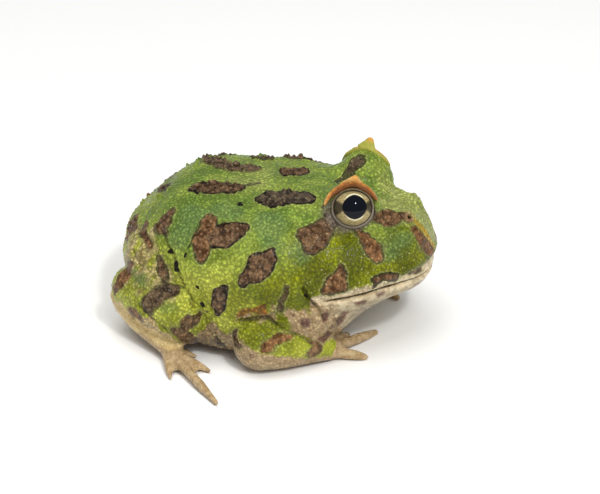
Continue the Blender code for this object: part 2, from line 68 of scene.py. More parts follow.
# The line of the mouth in side view, from its corner to the snout: places along the body and heights.
MOUTH_ALONG = (9, 12, 15.5, 19.5, 23.5, 27, 30, 33, 36)
MOUTH_HEIGHTS = (15.2, 15.8, 16.4, 16.9, 17.5, 17.9, 17.7, 17.0, 16.4)
NOSTRIL = Vector((30.0, 4.9, 30.2))

# The left arm is the right one's mirror image, turned about its shoulder by this.
LEFT_ARM_TURN, LEFT_ARM_PIVOT = 17.0, (5.0, 17.0)

# How the skin is made: how far the solids swell to meet, the mesh size, and the most triangles it keeps.
SWELL, SKIN_MESH = 0.24, 0.30
SKIN_TRIANGLES = 192000
# How far the jaw's underside is drawn up at the snout, the width of the cream band on the upper lip, and the
# height of the belly's pale edge.
JAW_LIFT, LIP_BAND, BELLY_EDGE = 1.7, 2.1, 10.8
# Granules and warts: how far apart they stand, and how high.
GRANULE_SPACING, GRANULE_RELIEF = 0.80, 0.16
WART_SPACING, WART_HEIGHT = 1.1, 0.34

# The cornea's bulge, as a share of the radius, and the degrees it spreads over, the pupil's half width and height,
# and half the lid ring's width.
CORNEA_BULGE, CORNEA_LEAN = 0.045, 34
PUPIL_HALF = (2.6, 2.62)
LID_WIDTH = 0.32
# The orange rim over the eye: its distance from the eye's middle, its thickness, and how many degrees it runs each
# way. It and the horn are rows of beads.
RIM_REACH, RIM_SIZE = 5.0, 0.78
RIM_ENDS = (-82, 70)
RIM_BEADS, HORN_BEADS = 64, 24
# The light from all round, and the paper's half width in metres.
WORLD_LIGHT, PAPER_HALF = 0.36, 3.0

# Blotches: a tone from 0, blackish, to 1, reddish brown, the strength of the black rim, and a chain of
# balls laid in the skin, each with its place and radius. Those of the back and the body have their own
# places left and right, and follow the photograph on the right.
BODY_BLOTCHES = (
    # The bar left of the middle line, the one right of it, and its thin tail.
    (0.15, 0.6, ((-18, 7.5, 34, 2.4), (-14.5, 4, 35, 2.4), (-11.5, 3.5, 34.5, 2.5), (-8.5, 3.5, 34.5, 2.3),
        (-7, 4, 34.5, 1.8))),
    (0.35, 1.0, ((-18, -7.5, 34, 1.8), (-16, -7.5, 34.5, 2.5), (-13.5, -7.5, 34.5, 2.9),
        (-10.5, -7, 34.5, 2.6), (-8.5, -6, 34.5, 1.7))),
    (0.0, 0.4, ((-8.5, -6, 34.5, 0.9), (-6.5, -4.5, 34.5, 0.6), (-4, -3, 34.5, 0.45))),
    # The button, the bean and the shoulder bar.
    (0.4, 1.0, ((1, 4, 34.5, 2.2), (3.5, 4, 34.5, 2.3))),
    (0.0, 1.0, ((-1.2, -9.5, 34, 2.6), (0.4, -9.5, 34, 3.3), (2.4, -9, 34.5, 3.1), (4.4, -8.4, 34.5, 2.8),
        (6.6, -8.3, 34.5, 2.6), (7.8, -8.6, 34.5, 2.0))),
    (0.3, 0.8, ((-0.5, 15.5, 33, 1.9), (3.5, 15.5, 33, 2.5), (8, 15, 33, 2.3), (12, 13.5, 33.5, 2.4))),
    # The heart on the right shoulder: its lobe and its wing.
    (0.75, 0.8, ((-12.5, -17.5, 31.5, 1.8), (-12.5, -20, 30, 2.3), (-13, -22, 28, 2.6),
        (-13, -23.5, 26, 2.1), (-12.5, -24, 25, 1.1))),
    (0.4, 1.0, ((-11.5, -21, 29, 2.8), (-8.5, -20.5, 29.5, 3.0), (-6, -19.5, 30.5, 2.4),
        (-4.5, -18.5, 31, 1.5))),
    # The diamond behind the right shoulder and the dark patch under it.
    (0.45, 1.0, ((2.2, -22, 27.6, 0.9), (2, -23, 26.5, 2.0), (0.5, -24, 25, 2.9), (-1, -25.5, 23.5, 2.5),
        (-2.8, -26, 22, 1.5))),
    (0.3, 1.0, ((-7.2, -26.6, 19.6, 1.0), (-8.2, -26.7, 18, 1.9), (-8.5, -27, 16, 1.7),
        (-8.7, -27, 14.3, 0.8))),
    # Rump and back edge.
    (0.5, 0.7, ((-22, -14, 31, 1.3), (-23, -15.5, 29.3, 2.2), (-24.5, -15.2, 27.5, 1.7),
        (-22.6, -17.7, 27.5, 1.0))),
    (0.6, 0.5, ((-32.7, -6, 24.3, 1.8), (-33.5, -7, 23, 2.4), (-33.1, -10, 22.5, 2.4),
        (-32.8, -12, 21.5, 0.9))),
    (0.2, 0.8, ((-28, -1.2, 29.8, 1.0), (-27, -2, 31, 1.9), (-25.8, -3.5, 31.5, 1.1))),
    (0.5, 0.7, ((-31.5, 1.5, 24.5, 1.0), (-32.5, 1, 22, 1.7), (-32.5, 1.5, 19, 1.2))),
    # The left side of the body.
    (0.6, 0.9, ((-15, 18.5, 31, 1.6), (-13, 21, 29.5, 2.8), (-10.5, 23, 27.5, 2.7), (-9.5, 25, 24.5, 1.6))),
    (0.4, 1.0, ((-4, 20.5, 30, 1.2), (-2, 22.5, 28, 2.5), (0.5, 23.5, 25.5, 2.9), (2.5, 24.5, 22.5, 1.5))),
    (0.3, 0.9, ((-8, 26.5, 19, 1.2), (-9.5, 26.5, 17, 2.0), (-9.5, 26.5, 14.5, 1.5))),
    (0.1, 0.8, ((-21, 12, 32.5, 1.3), (-18.5, 14, 32.5, 2.1), (-15.5, 14.5, 32.5, 1.4))),
    (0.1, 0.8, ((-8, 12, 33.5, 1.3), (-6, 12.5, 33.5, 1.7))),
    (0.5, 0.7, ((-24, 14.5, 29.5, 1.5), (-25.5, 16, 27, 2.1), (-25, 18, 24.5, 1.1))),
    (0.6, 0.6, ((-32, 7, 25, 1.2), (-33.5, 8, 22.5, 2.2), (-33, 10.5, 20, 1.5))),
    (0.2, 0.8, ((-27, 5, 31, 1.2), (-28, 7.5, 29.5, 1.5))),
)

# Blotches of the head, limbs and belly, given on the right. The left side has its like, a little moved.
SIDE_BLOTCHES = (
    # Behind and under the eye, and from the eye to the nostril.
    (0.05, 0.5, ((12.4, -11.2, 33.6, 0.9), (12.8, -12, 32.2, 1.5), (13, -12.8, 31, 1.2))),
    (0.5, 0.8, ((13.2, -12.6, 31, 1.6), (12.6, -15, 30.4, 2.6), (11, -17.2, 29.6, 3.3),
        (9.4, -17.6, 30, 2.4), (10.6, -19.2, 28, 2.0))),
    (0.95, 0.7, ((20.2, -12.6, 28.9, 1.3), (21.7, -13.7, 28, 1.9), (23.3, -14.4, 26.9, 2.3),
        (24.4, -15.3, 25.4, 1.7))),
    (0.6, 0.5, ((23, -10.3, 32.4, 1.5), (24.8, -8.8, 31.6, 2.2), (26.6, -7.2, 31, 2.1),
        (28.2, -6, 30.6, 1.5), (29.6, -5.4, 30.2, 1.2))),
    # The snout and the two on the lip.
    (1.0, 0.5, ((31.6, -6.2, 27.8, 1.3), (32.8, -6, 25.8, 2.0), (33.9, -5.3, 23.8, 2.1), (35, -4, 21.8, 1.4),
        (35.4, -3.2, 20.6, 0.8))),
    (0.8, 0.8, ((17.5, -19.4, 24, 0.7), (17.6, -20.2, 22.2, 1.7), (16.9, -21, 20.6, 2.4),
        (15.7, -21.8, 20, 2.1), (14.5, -22.5, 19.4, 1.3))),
    (0.6, 0.9, ((23.7, -17.8, 18.8, 0.7), (24.2, -18.2, 20.2, 0.95), (25.6, -17.2, 21, 1.05),
        (27.2, -16, 20.9, 1.05), (28.5, -15, 20.2, 0.95), (28.8, -13.8, 19.2, 0.6))),
    (0.1, 0.2, ((31, -11.9, 19.9, 0.7), (32.3, -9.4, 19.3, 0.95), (33.2, -7.8, 18.8, 0.7))),
    # The crescent on the eye mound.
    (0.1, 0.8, ((12.6, -0.2, 33.9, 0.6), (14.4, -1.9, 34.8, 1.1), (15.9, -3.9, 36.2, 1.5),
        (17.2, -5.3, 37.4, 1.6), (17.9, -6.8, 38.3, 1.0))),
    # Thigh, and the shank with its knee, ankle and the mottled brown under the knee.
    (0.6, 0.5, ((-28.8, -11.8, 25.8, 1.2), (-28.7, -13.2, 24.7, 1.3), (-26.9, -16.3, 24.4, 1.3),
        (-26.1, -18, 23.6, 0.9))),
    (0.4, 0.8, ((-23.9, -20.3, 22, 1.0), (-22.8, -21.6, 21, 1.3), (-21.6, -22.7, 19.8, 1.5),
        (-21.4, -23.2, 19, 0.9))),
    (0.75, 0.3, ((-29.6, -18.8, 19.4, 1.0), (-31, -18, 17.6, 1.8), (-32.4, -18.6, 15.8, 2.0),
        (-33.6, -19.6, 13.8, 1.7), (-33.9, -20, 12.4, 0.8))),
    (0.15, 0.5, ((-18.9, -24, 16.8, 1.3), (-20.8, -24.2, 16.6, 2.3), (-22.8, -25.4, 15.4, 2.6),
        (-24.6, -26.3, 13.6, 2.2))),
    (0.7, 0.2, ((-29.4, -23.4, 9.4, 1.3), (-27.8, -25, 10.4, 1.5), (-27.2, -25.6, 9.6, 1.1))),
    (0.4, 0.15, ((-12.9, -26.5, 12.6, 0.9), (-14.6, -27.4, 11.6, 1.7), (-16.6, -28.6, 10, 1.6),
        (-18.4, -28.9, 9.2, 1.0), (-15.8, -28, 7.6, 1.9), (-15, -26.8, 5, 1.9))),
    # The stripe on the breast, the forearm and the wrist.
    (0.3, 0.7, ((6.2, -24.7, 20, 0.7), (5.9, -25, 18.6, 0.8), (5, -25.5, 17, 1.0), (4.8, -25.7, 15, 0.7))),
    (1.0, 0.3, ((7.1, -26, 9.8, 0.8), (5.4, -27.7, 9.4, 1.3), (3.7, -29.4, 8.6, 1.6), (1.8, -30.5, 8.1, 1.1))),
    (0.45, 0.4, ((12.2, -23.4, 6.4, 0.9), (13, -23, 5.2, 1.4), (12, -24.2, 4.6, 1.6), (11, -25.2, 4.2, 0.8))),
    # The belly's edge.
    (0.2, 0.1, ((-9.7, -25.9, 7.2, 0.9), (-9, -25.4, 5.4, 1.3), (-8.4, -24.2, 4, 1.1))),
    (0.2, 0.1, ((-4.9, -27.1, 9.6, 0.9), (-4.6, -27.4, 8, 1.3), (-3.4, -29.6, 7.4, 1.0))),
)

# The rust-coloured patch over the elbow, and the ochre stripe from the nostril down to the lip.
RUST_PATCH = (
    (-4, -26.7, 13.6, 0.7), (-2.6, -26.9, 14.8, 0.9), (-0.6, -26.6, 14.9, 1.0),
    (1.1, -26.2, 15.4, 1.2), (1.8, -26.2, 14.7, 0.8),
)
SNOUT_STRIPE = (
    (31, -4.9, 29.6, 0.4), (32.6, -4.1, 27.6, 0.65), (33.9, -3.3, 25.2, 0.65),
    (35, -2, 22.6, 0.6), (35.8, -1.4, 21, 0.4),
)

# Soft violet-brown spots on the pale skin of the throat and jaw, on the right.
VIOLET_SPOTS = (
    ((10.5, -25.4, 12.6, 1.1),), ((14.4, -22.5, 13.6, 0.7), (14.5, -22.5, 12.4, 0.6)),
    ((18.3, -20.1, 12.8, 0.8), (17, -19.8, 10.2, 1.0)), ((13.4, -21.6, 7.2, 1.2), (14.6, -21, 7.2, 1.2)),
    ((20.8, -19.4, 14.5, 0.5), (22.4, -18.6, 15, 0.6)), ((24.8, -16.8, 16.2, 0.5), (26, -16.2, 16.5, 0.5)),
    ((32.2, -8.4, 15.3, 0.3), (33.2, -6.6, 15.4, 0.3)), ((15.7, -20.5, 9.5, 0.35),), ((8, -25, 14.4, 0.6),),
    ((-0.4, -31, 6.2, 0.8),), ((28.6, -11, 13.4, 0.9),), ((24, -12, 10, 1.1),), ((19, -8, 6, 1.2),),
    ((30, -2, 12, 0.9),),
)

# Tiny black or slate dots and the thin dark line beside the heart.
DARK_DOTS = (
    ((-6.7, -12.3, 33.5, 0.8),), ((-11.8, -13, 33.4, 0.3),), ((-6.5, -2, 34.6, 0.3),),
    ((-20.8, -20.8, 24.8, 0.7),), ((-19, -22.5, 22.8, 0.7), (-18.7, -23, 21.6, 0.7)),
    ((-12.3, -25.9, 14.9, 0.7),), ((-11.2, -26.4, 13.5, 0.3),), ((-32.8, -18.4, 7.2, 0.5),),
    ((-21, -27.4, 4.9, 0.5),), ((-13.7, -25.1, 18.8, 0.5),), ((15.7, -21.2, 10, 0.4),),
    ((10.3, -23.7, 18.3, 0.35), (10.8, -23.6, 17.4, 0.2)), ((9.3, -22.6, 21.6, 0.45),),
    ((-14.9, -18.2, 30.7, 0.15), (-15.9, -20.9, 28, 0.15), (-17.1, -22.8, 24.4, 0.15)), ((-20, 21, 25, 0.7),),
    ((-3, 9, 34.5, 0.6),), ((8, 3, 34.5, 0.35),),
)

# Pale skin besides the belly, jaw and lip, on the right: the breast's bulge, what joins it to the throat, and
# the skin round the rust patch.
PALE_ZONES = (
    ((7.2, -25.4, 14.4, 1.5), (9.6, -25, 12.2, 2.8), (12, -23.4, 10.6, 3.2), (13.4, -22, 7.6, 2.2)),
    ((12.6, -22.8, 14.4, 1.8), (15, -21.6, 12.8, 2.6), (15.4, -20.4, 8.4, 2.6)),
    ((-4.4, -26.8, 12.8, 0.9), (-1.2, -26.8, 13.2, 0.7), (3, -26.4, 13.6, 0.8), (3.6, -26, 15.4, 0.6)),
)
# Lighter green of the snout and back, partly painted top light, deeper green of the shoulder, partly painted
# shade, tan of the heel, and blue-green, mostly a painted sheen.
SNOUT_TOP = ((25, -3.5, 33.5, 1.5), (29, -2.5, 31.5, 2.5), (34, -0.5, 25, 2.0))
BACK_LIGHT = ((-9, -3.5, 34.6, 1.0), (-5, -3, 34.6, 1.0))
DEEP_ZONE = ((2, -25, 22, 3.5), (7, -24, 19, 4.0))
TAN_ZONE = (
    (-30.4, -22.6, 5.4, 1.4), (-28, -24.2, 6.8, 2.6), (-25, -26, 8.2, 2.8), (-22, -27.2, 7, 2.2),
    (-18.8, -27.6, 4.6, 2.0),
)
# Blue-green that stands mostly for a painted sheen on the wet skin, partly its own blue-green.
PAINTED_SHEEN_ZONES = (
    ((8, -19, 29, 1.5), (8.5, -21.5, 26, 2.0)),
    ((0, -17, 32, 3.0), (3, -19, 30, 2.4)),
    ((-16, -16, 31, 3.4), (-19, -20, 27, 2.4)),
    ((-11, -14.5, 33, 2.4), (-7, -15, 33, 2.0)),
    ((-27, -21, 18, 2.6), (-26, -23, 15, 1.6)),
    ((-20, -26.5, 13.5, 1.4),),
    ((26.5, -13, 26, 2.4), (29, -10, 26, 1.8)),
)

# Folds of the right side: points, width, and height, below zero for a groove.
FOLDS = (
    # Between body and thigh, between thigh and shank, and along the top of the tarsus.
    (((-28, -11, 29), (-24.5, -15.8, 28), (-20.3, -21.2, 24.6), (-17, -24, 18.5),
        (-14.5, -25.7, 14)), 0.55, -0.7),
    (((-30.4, -17, 22.1), (-28.5, -19.6, 20.4), (-25, -21.9, 19.4), (-21.9, -23.6, 18.2),
        (-17.6, -24.3, 17.6)), 0.5, -0.7),
    (((-27.2, -25.5, 12.8), (-23.8, -27.4, 11), (-20, -28.4, 8.6), (-16.6, -27.6, 4.6)), 0.5, -0.6),
    # Over the forearm, and round the breast's bulge.
    (((-3.4, -27, 12.2), (-0.2, -26.6, 13.1), (2.4, -26.2, 13.2), (4.7, -26.3, 11.6), (7.7, -25.6, 9.5),
        (11.8, -23.8, 6.8)), 0.5, -1.0),
    (((9.6, -23.8, 20), (11, -23.5, 17.6), (12.5, -22.8, 15.4), (13.6, -22.9, 13.4), (14.6, -22.2, 10.6),
        (14.4, -20.8, 7.4)), 0.45, -0.8),
    (((10.3, -23.3, 19.6), (11.8, -22.9, 17.2), (13, -22.5, 15.6)), 0.4, 0.35),
    (((6.6, -24.6, 20.4), (5.2, -25.6, 17), (4.8, -26, 13.4)), 0.5, -0.5),
    # The fold of the throat.
    (((21, -19.2, 13.9), (19.2, -19.8, 12.4), (18, -19.4, 10.3), (16.8, -18, 7.4)), 0.4, 0.4),
    (((21.8, -19, 13.2), (19.8, -19.4, 11.8), (18.8, -18.8, 9.8)), 0.4, -0.5),
    (((20.2, -19.8, 14.2), (18.4, -20.4, 12.4), (17.2, -20, 10)), 0.35, -0.35),
    # The flank.
    (((-10, -26, 25), (-10.5, -27, 19), (-11, -27, 14)), 0.6, -0.3),
    (((-5, -26.6, 23), (-6, -27.4, 17), (-6, -27.4, 12)), 0.6, -0.25),
    (((0.5, -26.6, 20), (-0.5, -27, 17)), 0.6, -0.2),
    (((-15, -18, 31), (-16, -21, 28), (-17, -23, 24)), 0.35, -0.35),
    # The ridges of the head: from the eye to the nostril, and the snout's edge down to the lip.
    (((23, -8.5, 34), (26, -6.5, 32.5), (29, -5, 31.6)), 1.3, 0.35),
    (((30.6, -3.8, 30.5), (32.5, -3.2, 28), (34, -2.2, 25)), 0.9, 0.25),
    (((8, -7, 34.8), (3, -12, 33.5), (-1, -15.5, 32)), 2.2, 0.3),
)


# Small tools
def in_metres(obj):
    obj.data.transform(Matrix.Scale(MM, 4))
    obj.data.shade_smooth()
    return obj


def object_of(name, shape):
    mesh = bpy.data.meshes.new(name)
    shape.to_mesh(mesh)
    shape.free()
    obj = bpy.data.objects.new(name, mesh)
    bpy.context.scene.collection.objects.link(obj)
    return obj


def apply_modifiers(obj):
    bpy.context.view_layer.update()
    graph = bpy.context.evaluated_depsgraph_get()
    finished = bpy.data.meshes.new_from_object(obj.evaluated_get(graph))
    obj.modifiers.clear()
    obj.data = finished


def fuse(obj, size):
    """Melts a piece's overlapping shapes into one even surface."""
    remesh = obj.modifiers.new("fuse", "REMESH")
    remesh.mode = "VOXEL"
    remesh.voxel_size = size
    apply_modifiers(obj)


def thin_out(obj, most):
    """Merges triangles where a piece is smoothest until no more than this many are left."""
    count = sum(len(face.vertices) - 2 for face in obj.data.polygons)
    thinner = obj.modifiers.new("thin_out", "DECIMATE")
    thinner.ratio = min(1.0, most / count)
    apply_modifiers(obj)


def to_side(vector, side):
    return Vector((vector[0], vector[1] * side, vector[2]))


def rows_of(items, key, kind, width):
    values = np.empty(len(items) * width, kind)
    items.foreach_get(key, values)
    return values.reshape(-1, width)


def points_of(obj):
    return rows_of(obj.data.vertices, "co", np.float32, 3).astype(float)


def normals_of(obj):
    return rows_of(obj.data.vertex_normals, "vector", np.float32, 3).astype(float)


def edges_of(obj):
    return rows_of(obj.data.edges, "vertices", np.int32, 2)


def set_points(obj, places):
    obj.data.vertices.foreach_set("co", places.astype(np.float32).ravel())
    obj.data.update()


def push(obj, heights):
    """Moves each point along the skin's own direction there."""
    set_points(obj, points_of(obj) + normals_of(obj) * heights[:, None])


def averaged(values, ends):
    """For each point, the mean of its neighbours' values."""
    count = np.bincount(ends.ravel(), minlength=len(values))
    columns = values.reshape(len(values), -1)
    made = np.empty_like(columns)
    for k in range(columns.shape[1]):
        column = columns[:, k]
        total = np.bincount(ends[:, 0], column[ends[:, 1]], len(values))
        total += np.bincount(ends[:, 1], column[ends[:, 0]], len(values))
        made[:, k] = total / np.maximum(count, 1)
    return made.reshape(values.shape)


def smoothed(places, ends, rounds, share=0.5, back=0.52):
    """Smooths a surface. The step back keeps thin parts from shrinking."""
    for _ in range(rounds):
        places = places + share * (averaged(places, ends) - places)
        places = places - back * (averaged(places, ends) - places)
    return places


def store(obj, **fields):
    """Keeps a number at each point for the materials to read."""
    for name, values in fields.items():
        attribute = obj.data.attributes.new(name, "FLOAT", "POINT")
        attribute.data.foreach_set("value", np.asarray(values, np.float32))


def bell(distance, width):
    return np.exp(-((distance / width) ** 2))


def step_up(values, low, high):
    """0 below low, 1 above high, and a soft step between."""
    share = np.clip((values - low) / (high - low), 0, 1)
    return share * share * (3 - 2 * share)


def ripple(places, size, seed):
    """Smooth noise from about -1 to 1, with waves of about this size."""
    chance = np.random.default_rng(seed)
    total = np.zeros(len(places))
    for _ in range(10):
        way = chance.normal(size=3)
        way /= np.linalg.norm(way)
        wave = size * chance.uniform(0.7, 1.6)
        total += np.sin(places @ way * 2 * math.pi / wave + chance.uniform(0, 2 * math.pi))
    return total / 4


def shaken(places, size, amount, seed):
    """The same places moved about by smooth noise, so that what is drawn by them gets uneven outlines."""
    return places + amount * np.stack([ripple(places, size, seed + k) for k in range(3)], axis=1)


def outside(places, chain):
    """How far each place lies outside a chain of balls. Inside is below zero."""
    chain = np.array(chain if len(chain) > 1 else chain * 2, float)
    nearest = np.full(len(places), np.inf)
    for start, end in zip(chain, chain[1:]):
        along = end[:3] - start[:3]
        share = np.clip((places - start[:3]) @ along / max(along @ along, 1e-9), 0, 1)
        gap = np.linalg.norm(places - start[:3] - share[:, None] * along, axis=1)
        nearest = np.minimum(nearest, gap - start[3] - share * (end[3] - start[3]))
    return nearest


def nearest_of(places, chains):
    return np.min([outside(places, chain) for chain in chains], axis=0)


def nearest_blotch(places, blotches):
    """The distance to the nearest blotch, that blotch's tone and the strength of its rim."""
    gaps = np.array([outside(places, chain) for _, _, chain in blotches])
    tones, rims = np.array([(tone, rim) for tone, rim, _ in blotches]).T
    nearest = gaps.argmin(axis=0)
    return gaps.min(axis=0), tones[nearest], rims[nearest]


def scattered(places, allowed, spacing, seed):
    """Points of the skin at random, none nearer to another than the spacing there."""
    chance = np.random.default_rng(seed)
    cell = float(spacing.max())
    keys = np.floor(places / cell).astype(int)
    taken, chosen = {}, []
    near = [(a, b, c) for a in (-1, 0, 1) for b in (-1, 0, 1) for c in (-1, 0, 1)]
    for k in chance.permutation(np.flatnonzero(allowed)):
        x, y, z = keys[k]
        others = [other for a, b, c in near for other in taken.get((x + a, y + b, z + c), ())]
        if others and (((places[others] - places[k]) ** 2).sum(1) < spacing[k] ** 2).any():
            continue
        taken.setdefault((x, y, z), []).append(k)
        chosen.append(k)
    return np.array(chosen)


def nearest_spot(places, spots):
    """For each place, the number of the nearest spot and how far off it is."""
    tree = KDTree(len(spots))
    for number, spot in enumerate(spots):
        tree.insert(spot, number)
    tree.balance()
    found = [tree.find(place) for place in places]
    return np.array([number for _, number, _ in found]), np.array([distance for _, _, distance in found])


def mounds(places, spots, radius, tops):
    """A round mound at each spot. The radius and the height of its top are given for each spot."""
    number, distance = nearest_spot(places, places[spots])
    return tops[number] * bell(distance, radius[number])


# The skin
def flesh_copy(node):
    """A solid of flesh in millimetres, swollen so that it meets its neighbours."""
    shape = bmesh.new()
    shape.from_mesh(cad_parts[node].data)
    bmesh.ops.scale(shape, vec=(1 / MM,) * 3, verts=shape.verts)
    bmesh.ops.remove_doubles(shape, verts=shape.verts, dist=0.002)
    shape.normal_update()
    ways = [vertex.normal.copy() for vertex in shape.verts]
    for vertex, way in zip(shape.verts, ways):
        vertex.co += way * SWELL
    return shape


def keep_outer(obj):
    """Drops whatever small shells the fusing left inside."""
    ends = edges_of(obj)
    label = np.arange(len(obj.data.vertices))
    while True:
        lowest = label.copy()
        np.minimum.at(lowest, ends[:, 0], label[ends[:, 1]])
        np.minimum.at(lowest, ends[:, 1], label[ends[:, 0]])
        lowest = lowest[lowest]
        if np.array_equal(lowest, label):
            break
        label = lowest
    main = np.bincount(label).argmax()
    shape = bmesh.new()
    shape.from_mesh(obj.data)
    shape.verts.ensure_lookup_table()
    inner = [shape.verts[k] for k in np.flatnonzero(label != main)]
    bmesh.ops.delete(shape, geom=inner, context="VERTS")
    shape.to_mesh(obj.data)
    shape.free()


def fused_skin():
    """All the flesh melted into one surface, and for each of its points the number of the solid there.

    The horns' solids go in too, drawn in a little, so that green skin climbs up behind the orange ones.
    """
    whole = bmesh.new()
    spots, solids = [], []
    horns = [(f"{word}_horn", side) for side, word in SIDES]
    for node, side in [(node, 0) for node in FLESH] + horns:
        piece = flesh_copy(node)
        if side:
            inward = to_side(LID_AXIS, side) * -0.6 + Vector((0.1, 0, -0.1))
            bmesh.ops.translate(piece, vec=inward, verts=piece.verts)
        spots += [vertex.co.copy() for vertex in piece.verts]
        solids += [FLESH.index("head" if side else node)] * len(piece.verts)
        mesh = bpy.data.meshes.new("flesh")
        piece.to_mesh(mesh)
        piece.free()
        whole.from_mesh(mesh)
        bpy.data.meshes.remove(mesh)
    skin = object_of("skin", whole)
    fuse(skin, SKIN_MESH)
    keep_outer(skin)
    return skin, np.array(solids)[nearest_spot(points_of(skin), spots)[0]]


def share_of(owner, nodes, ends, rounds=8):
    """1 on these solids, 0 elsewhere, and a soft change between."""
    share = np.isin(owner, [FLESH.index(node) for node in nodes]).astype(float)
    for _ in range(rounds):
        share = averaged(share, ends)
    return share


def on_both(*parts):
    return [f"{word}_{part}" for _, word in SIDES for part in parts]


def mouth_height(x):
    return np.interp(x, MOUTH_ALONG, MOUTH_HEIGHTS)


def brought_right(places, arms):
    """Each place's like on the right side. The left arm is turned back first."""
    angle = math.radians(-LEFT_ARM_TURN) * arms * (places[:, 1] > 0)
    dx, dy = places[:, 0] - LEFT_ARM_PIVOT[0], places[:, 1] - LEFT_ARM_PIVOT[1]
    x = LEFT_ARM_PIVOT[0] + dx * np.cos(angle) - dy * np.sin(angle)
    y = LEFT_ARM_PIVOT[1] + dx * np.sin(angle) + dy * np.cos(angle)
    return np.stack([x, -np.abs(y), places[:, 2]], axis=1)


def eye_frame(side):
    """The lids' axis, the level way across them and the way up them."""
    axis = to_side(LID_AXIS, side)
    level = Vector((0, 0, 1)).cross(axis).normalized()
    return axis, level, axis.cross(level)


def lid_edge(turn):
    """How far the lids' opening reaches from its middle, at an angle round it."""
    return 1 / np.hypot(np.cos(turn) / OPENING_HALF[0], np.sin(turn) / OPENING_HALF[1])


def from_eye(places, side):
    """The eye's own directions, each place's distance from its middle, and how far it lies along them."""
    ways = np.array([np.array(way) for way in eye_frame(side)])
    out = places - np.array(to_side(EYE_CENTRE, side))
    return ways, np.linalg.norm(out, axis=1), *(out @ way for way in ways)


def clear_openings(places):
    """Draws the skin back to an even oval round each eye."""
    for side, _ in SIDES:
        ways, radius, along, across, upward = from_eye(places, side)
        turn = np.arctan2(upward, across)
        least = np.arcsin(np.clip(lid_edge(turn) / EYE_RADIUS, 0, 0.98)) + math.radians(9)
        lean = np.arctan2(np.hypot(across, upward), along)
        inside = (radius < 7.6) & (lean < least)
        lean = np.where(inside, least, lean)
        flat = np.stack([np.cos(lean), np.sin(lean) * np.cos(turn), np.sin(lean) * np.sin(turn)], axis=1)
        moved = radius[:, None] * (flat @ ways)
        places = np.where(inside[:, None], np.array(to_side(EYE_CENTRE, side)) + moved, places)
    return places


skin, owner = fused_skin()
ends = edges_of(skin)
digits, hands, arms, forearms, thighs, shanks = (
    share_of(owner, on_both(*parts), ends)
    for parts in (
        ("hand", "foot"), ("hand",), ("upper_arm", "forearm", "hand"), ("upper_arm", "forearm"),
        ("thigh",), ("shank",),
    )
)
jaw, face, torso = (share_of(owner, nodes, ends) for nodes in (["lower_jaw"], ["head", "lower_jaw"], ["torso"]))

places = smoothed(points_of(skin), ends, 20)
places = smoothed(clear_openings(places), ends, 3)
places += digits[:, None] * (smoothed(places, ends, 40) - places)
set_points(skin, places)
push(skin, -SWELL * (1 + 1.3 * digits - 1.5 * hands))

# The forms that go over the solids: jaw, mouth, lips, folds and nostrils.
places = points_of(skin)
x, y, z = places.T
under_jaw = step_up(x, 15, 22) * step_up(mouth_height(x) - 2.2 - z, 0, 4) * np.clip(face, 0, 1)
places[:, 2] += JAW_LIFT * under_jaw
set_points(skin, places)
even = brought_right(places, arms)
above_mouth = z - mouth_height(x)
at_mouth = step_up(x, 10.5, 13.5) * np.clip(face, 0, 1)
height = at_mouth * (-0.8 * bell(above_mouth, 0.36) + 0.3 * bell(above_mouth - 0.9, 0.7))
height += at_mouth * 0.2 * bell(above_mouth + 0.9, 0.6)
# How deep each point lies in a fold, which the material darkens as painted shade.
crease = np.zeros(len(places))
for route, width, depth in FOLDS:
    nearness = bell(outside(shaken(even, 6.0, 0.25, 5), [(*spot, 0.0) for spot in route]), width)
    height += depth * nearness
    crease = np.maximum(crease, -depth * nearness)
pit = outside(even, [(NOSTRIL.x, -NOSTRIL.y, NOSTRIL.z, 0.0)])
height += 0.3 * bell(pit - 0.85, 0.3) - 0.8 * bell(pit, 0.45)
height += 0.16 * ripple(places, 7.0, 11) * np.clip(torso + thighs, 0, 1) * step_up(31.0 - z, 0, 6)
height += 0.04 * ripple(places, 2.6, 12) * digits
push(skin, height)

# The markings, each as the distance to its edge.
left = (places[:, 1] > 0)[:, None]
moved = even + left * np.array((0.7, -0.4, -0.6))
drawn = shaken(places, 4.5, 0.4, 20)
drawn_even = moved + (drawn - places) + (shaken(places, 3.0, 0.2, 30) - places)
body_gap, body_tone, body_rim = nearest_blotch(drawn, BODY_BLOTCHES)
body_gap = body_gap + 6.0 * np.clip(arms + shanks, 0, 1)
side_gap, side_tone, side_rim = nearest_blotch(drawn_even, SIDE_BLOTCHES)
side_gap = side_gap + 4 * left[:, 0] * face * step_up(z, 29.5, 30.5) * step_up(x, 19.5, 21.0)
blotch = np.minimum(body_gap, side_gap) + 0.15 * ripple(places, 1.6, 23)
on_body = body_gap < side_gap
tone, rim = np.where(on_body, body_tone, side_tone), np.where(on_body, body_rim, side_rim)
violet = nearest_of(drawn_even, VIOLET_SPOTS) + 0.2 * ripple(places, 2.0, 24)
dots = nearest_of(places, DARK_DOTS) + 0.12 * ripple(places, 1.2, 25)
bluish = nearest_of(drawn_even, PAINTED_SHEEN_ZONES) + 0.9 * ripple(places, 5.0, 26)
rust = outside(drawn_even, RUST_PATCH)
ochre = outside(moved, SNOUT_STRIPE)

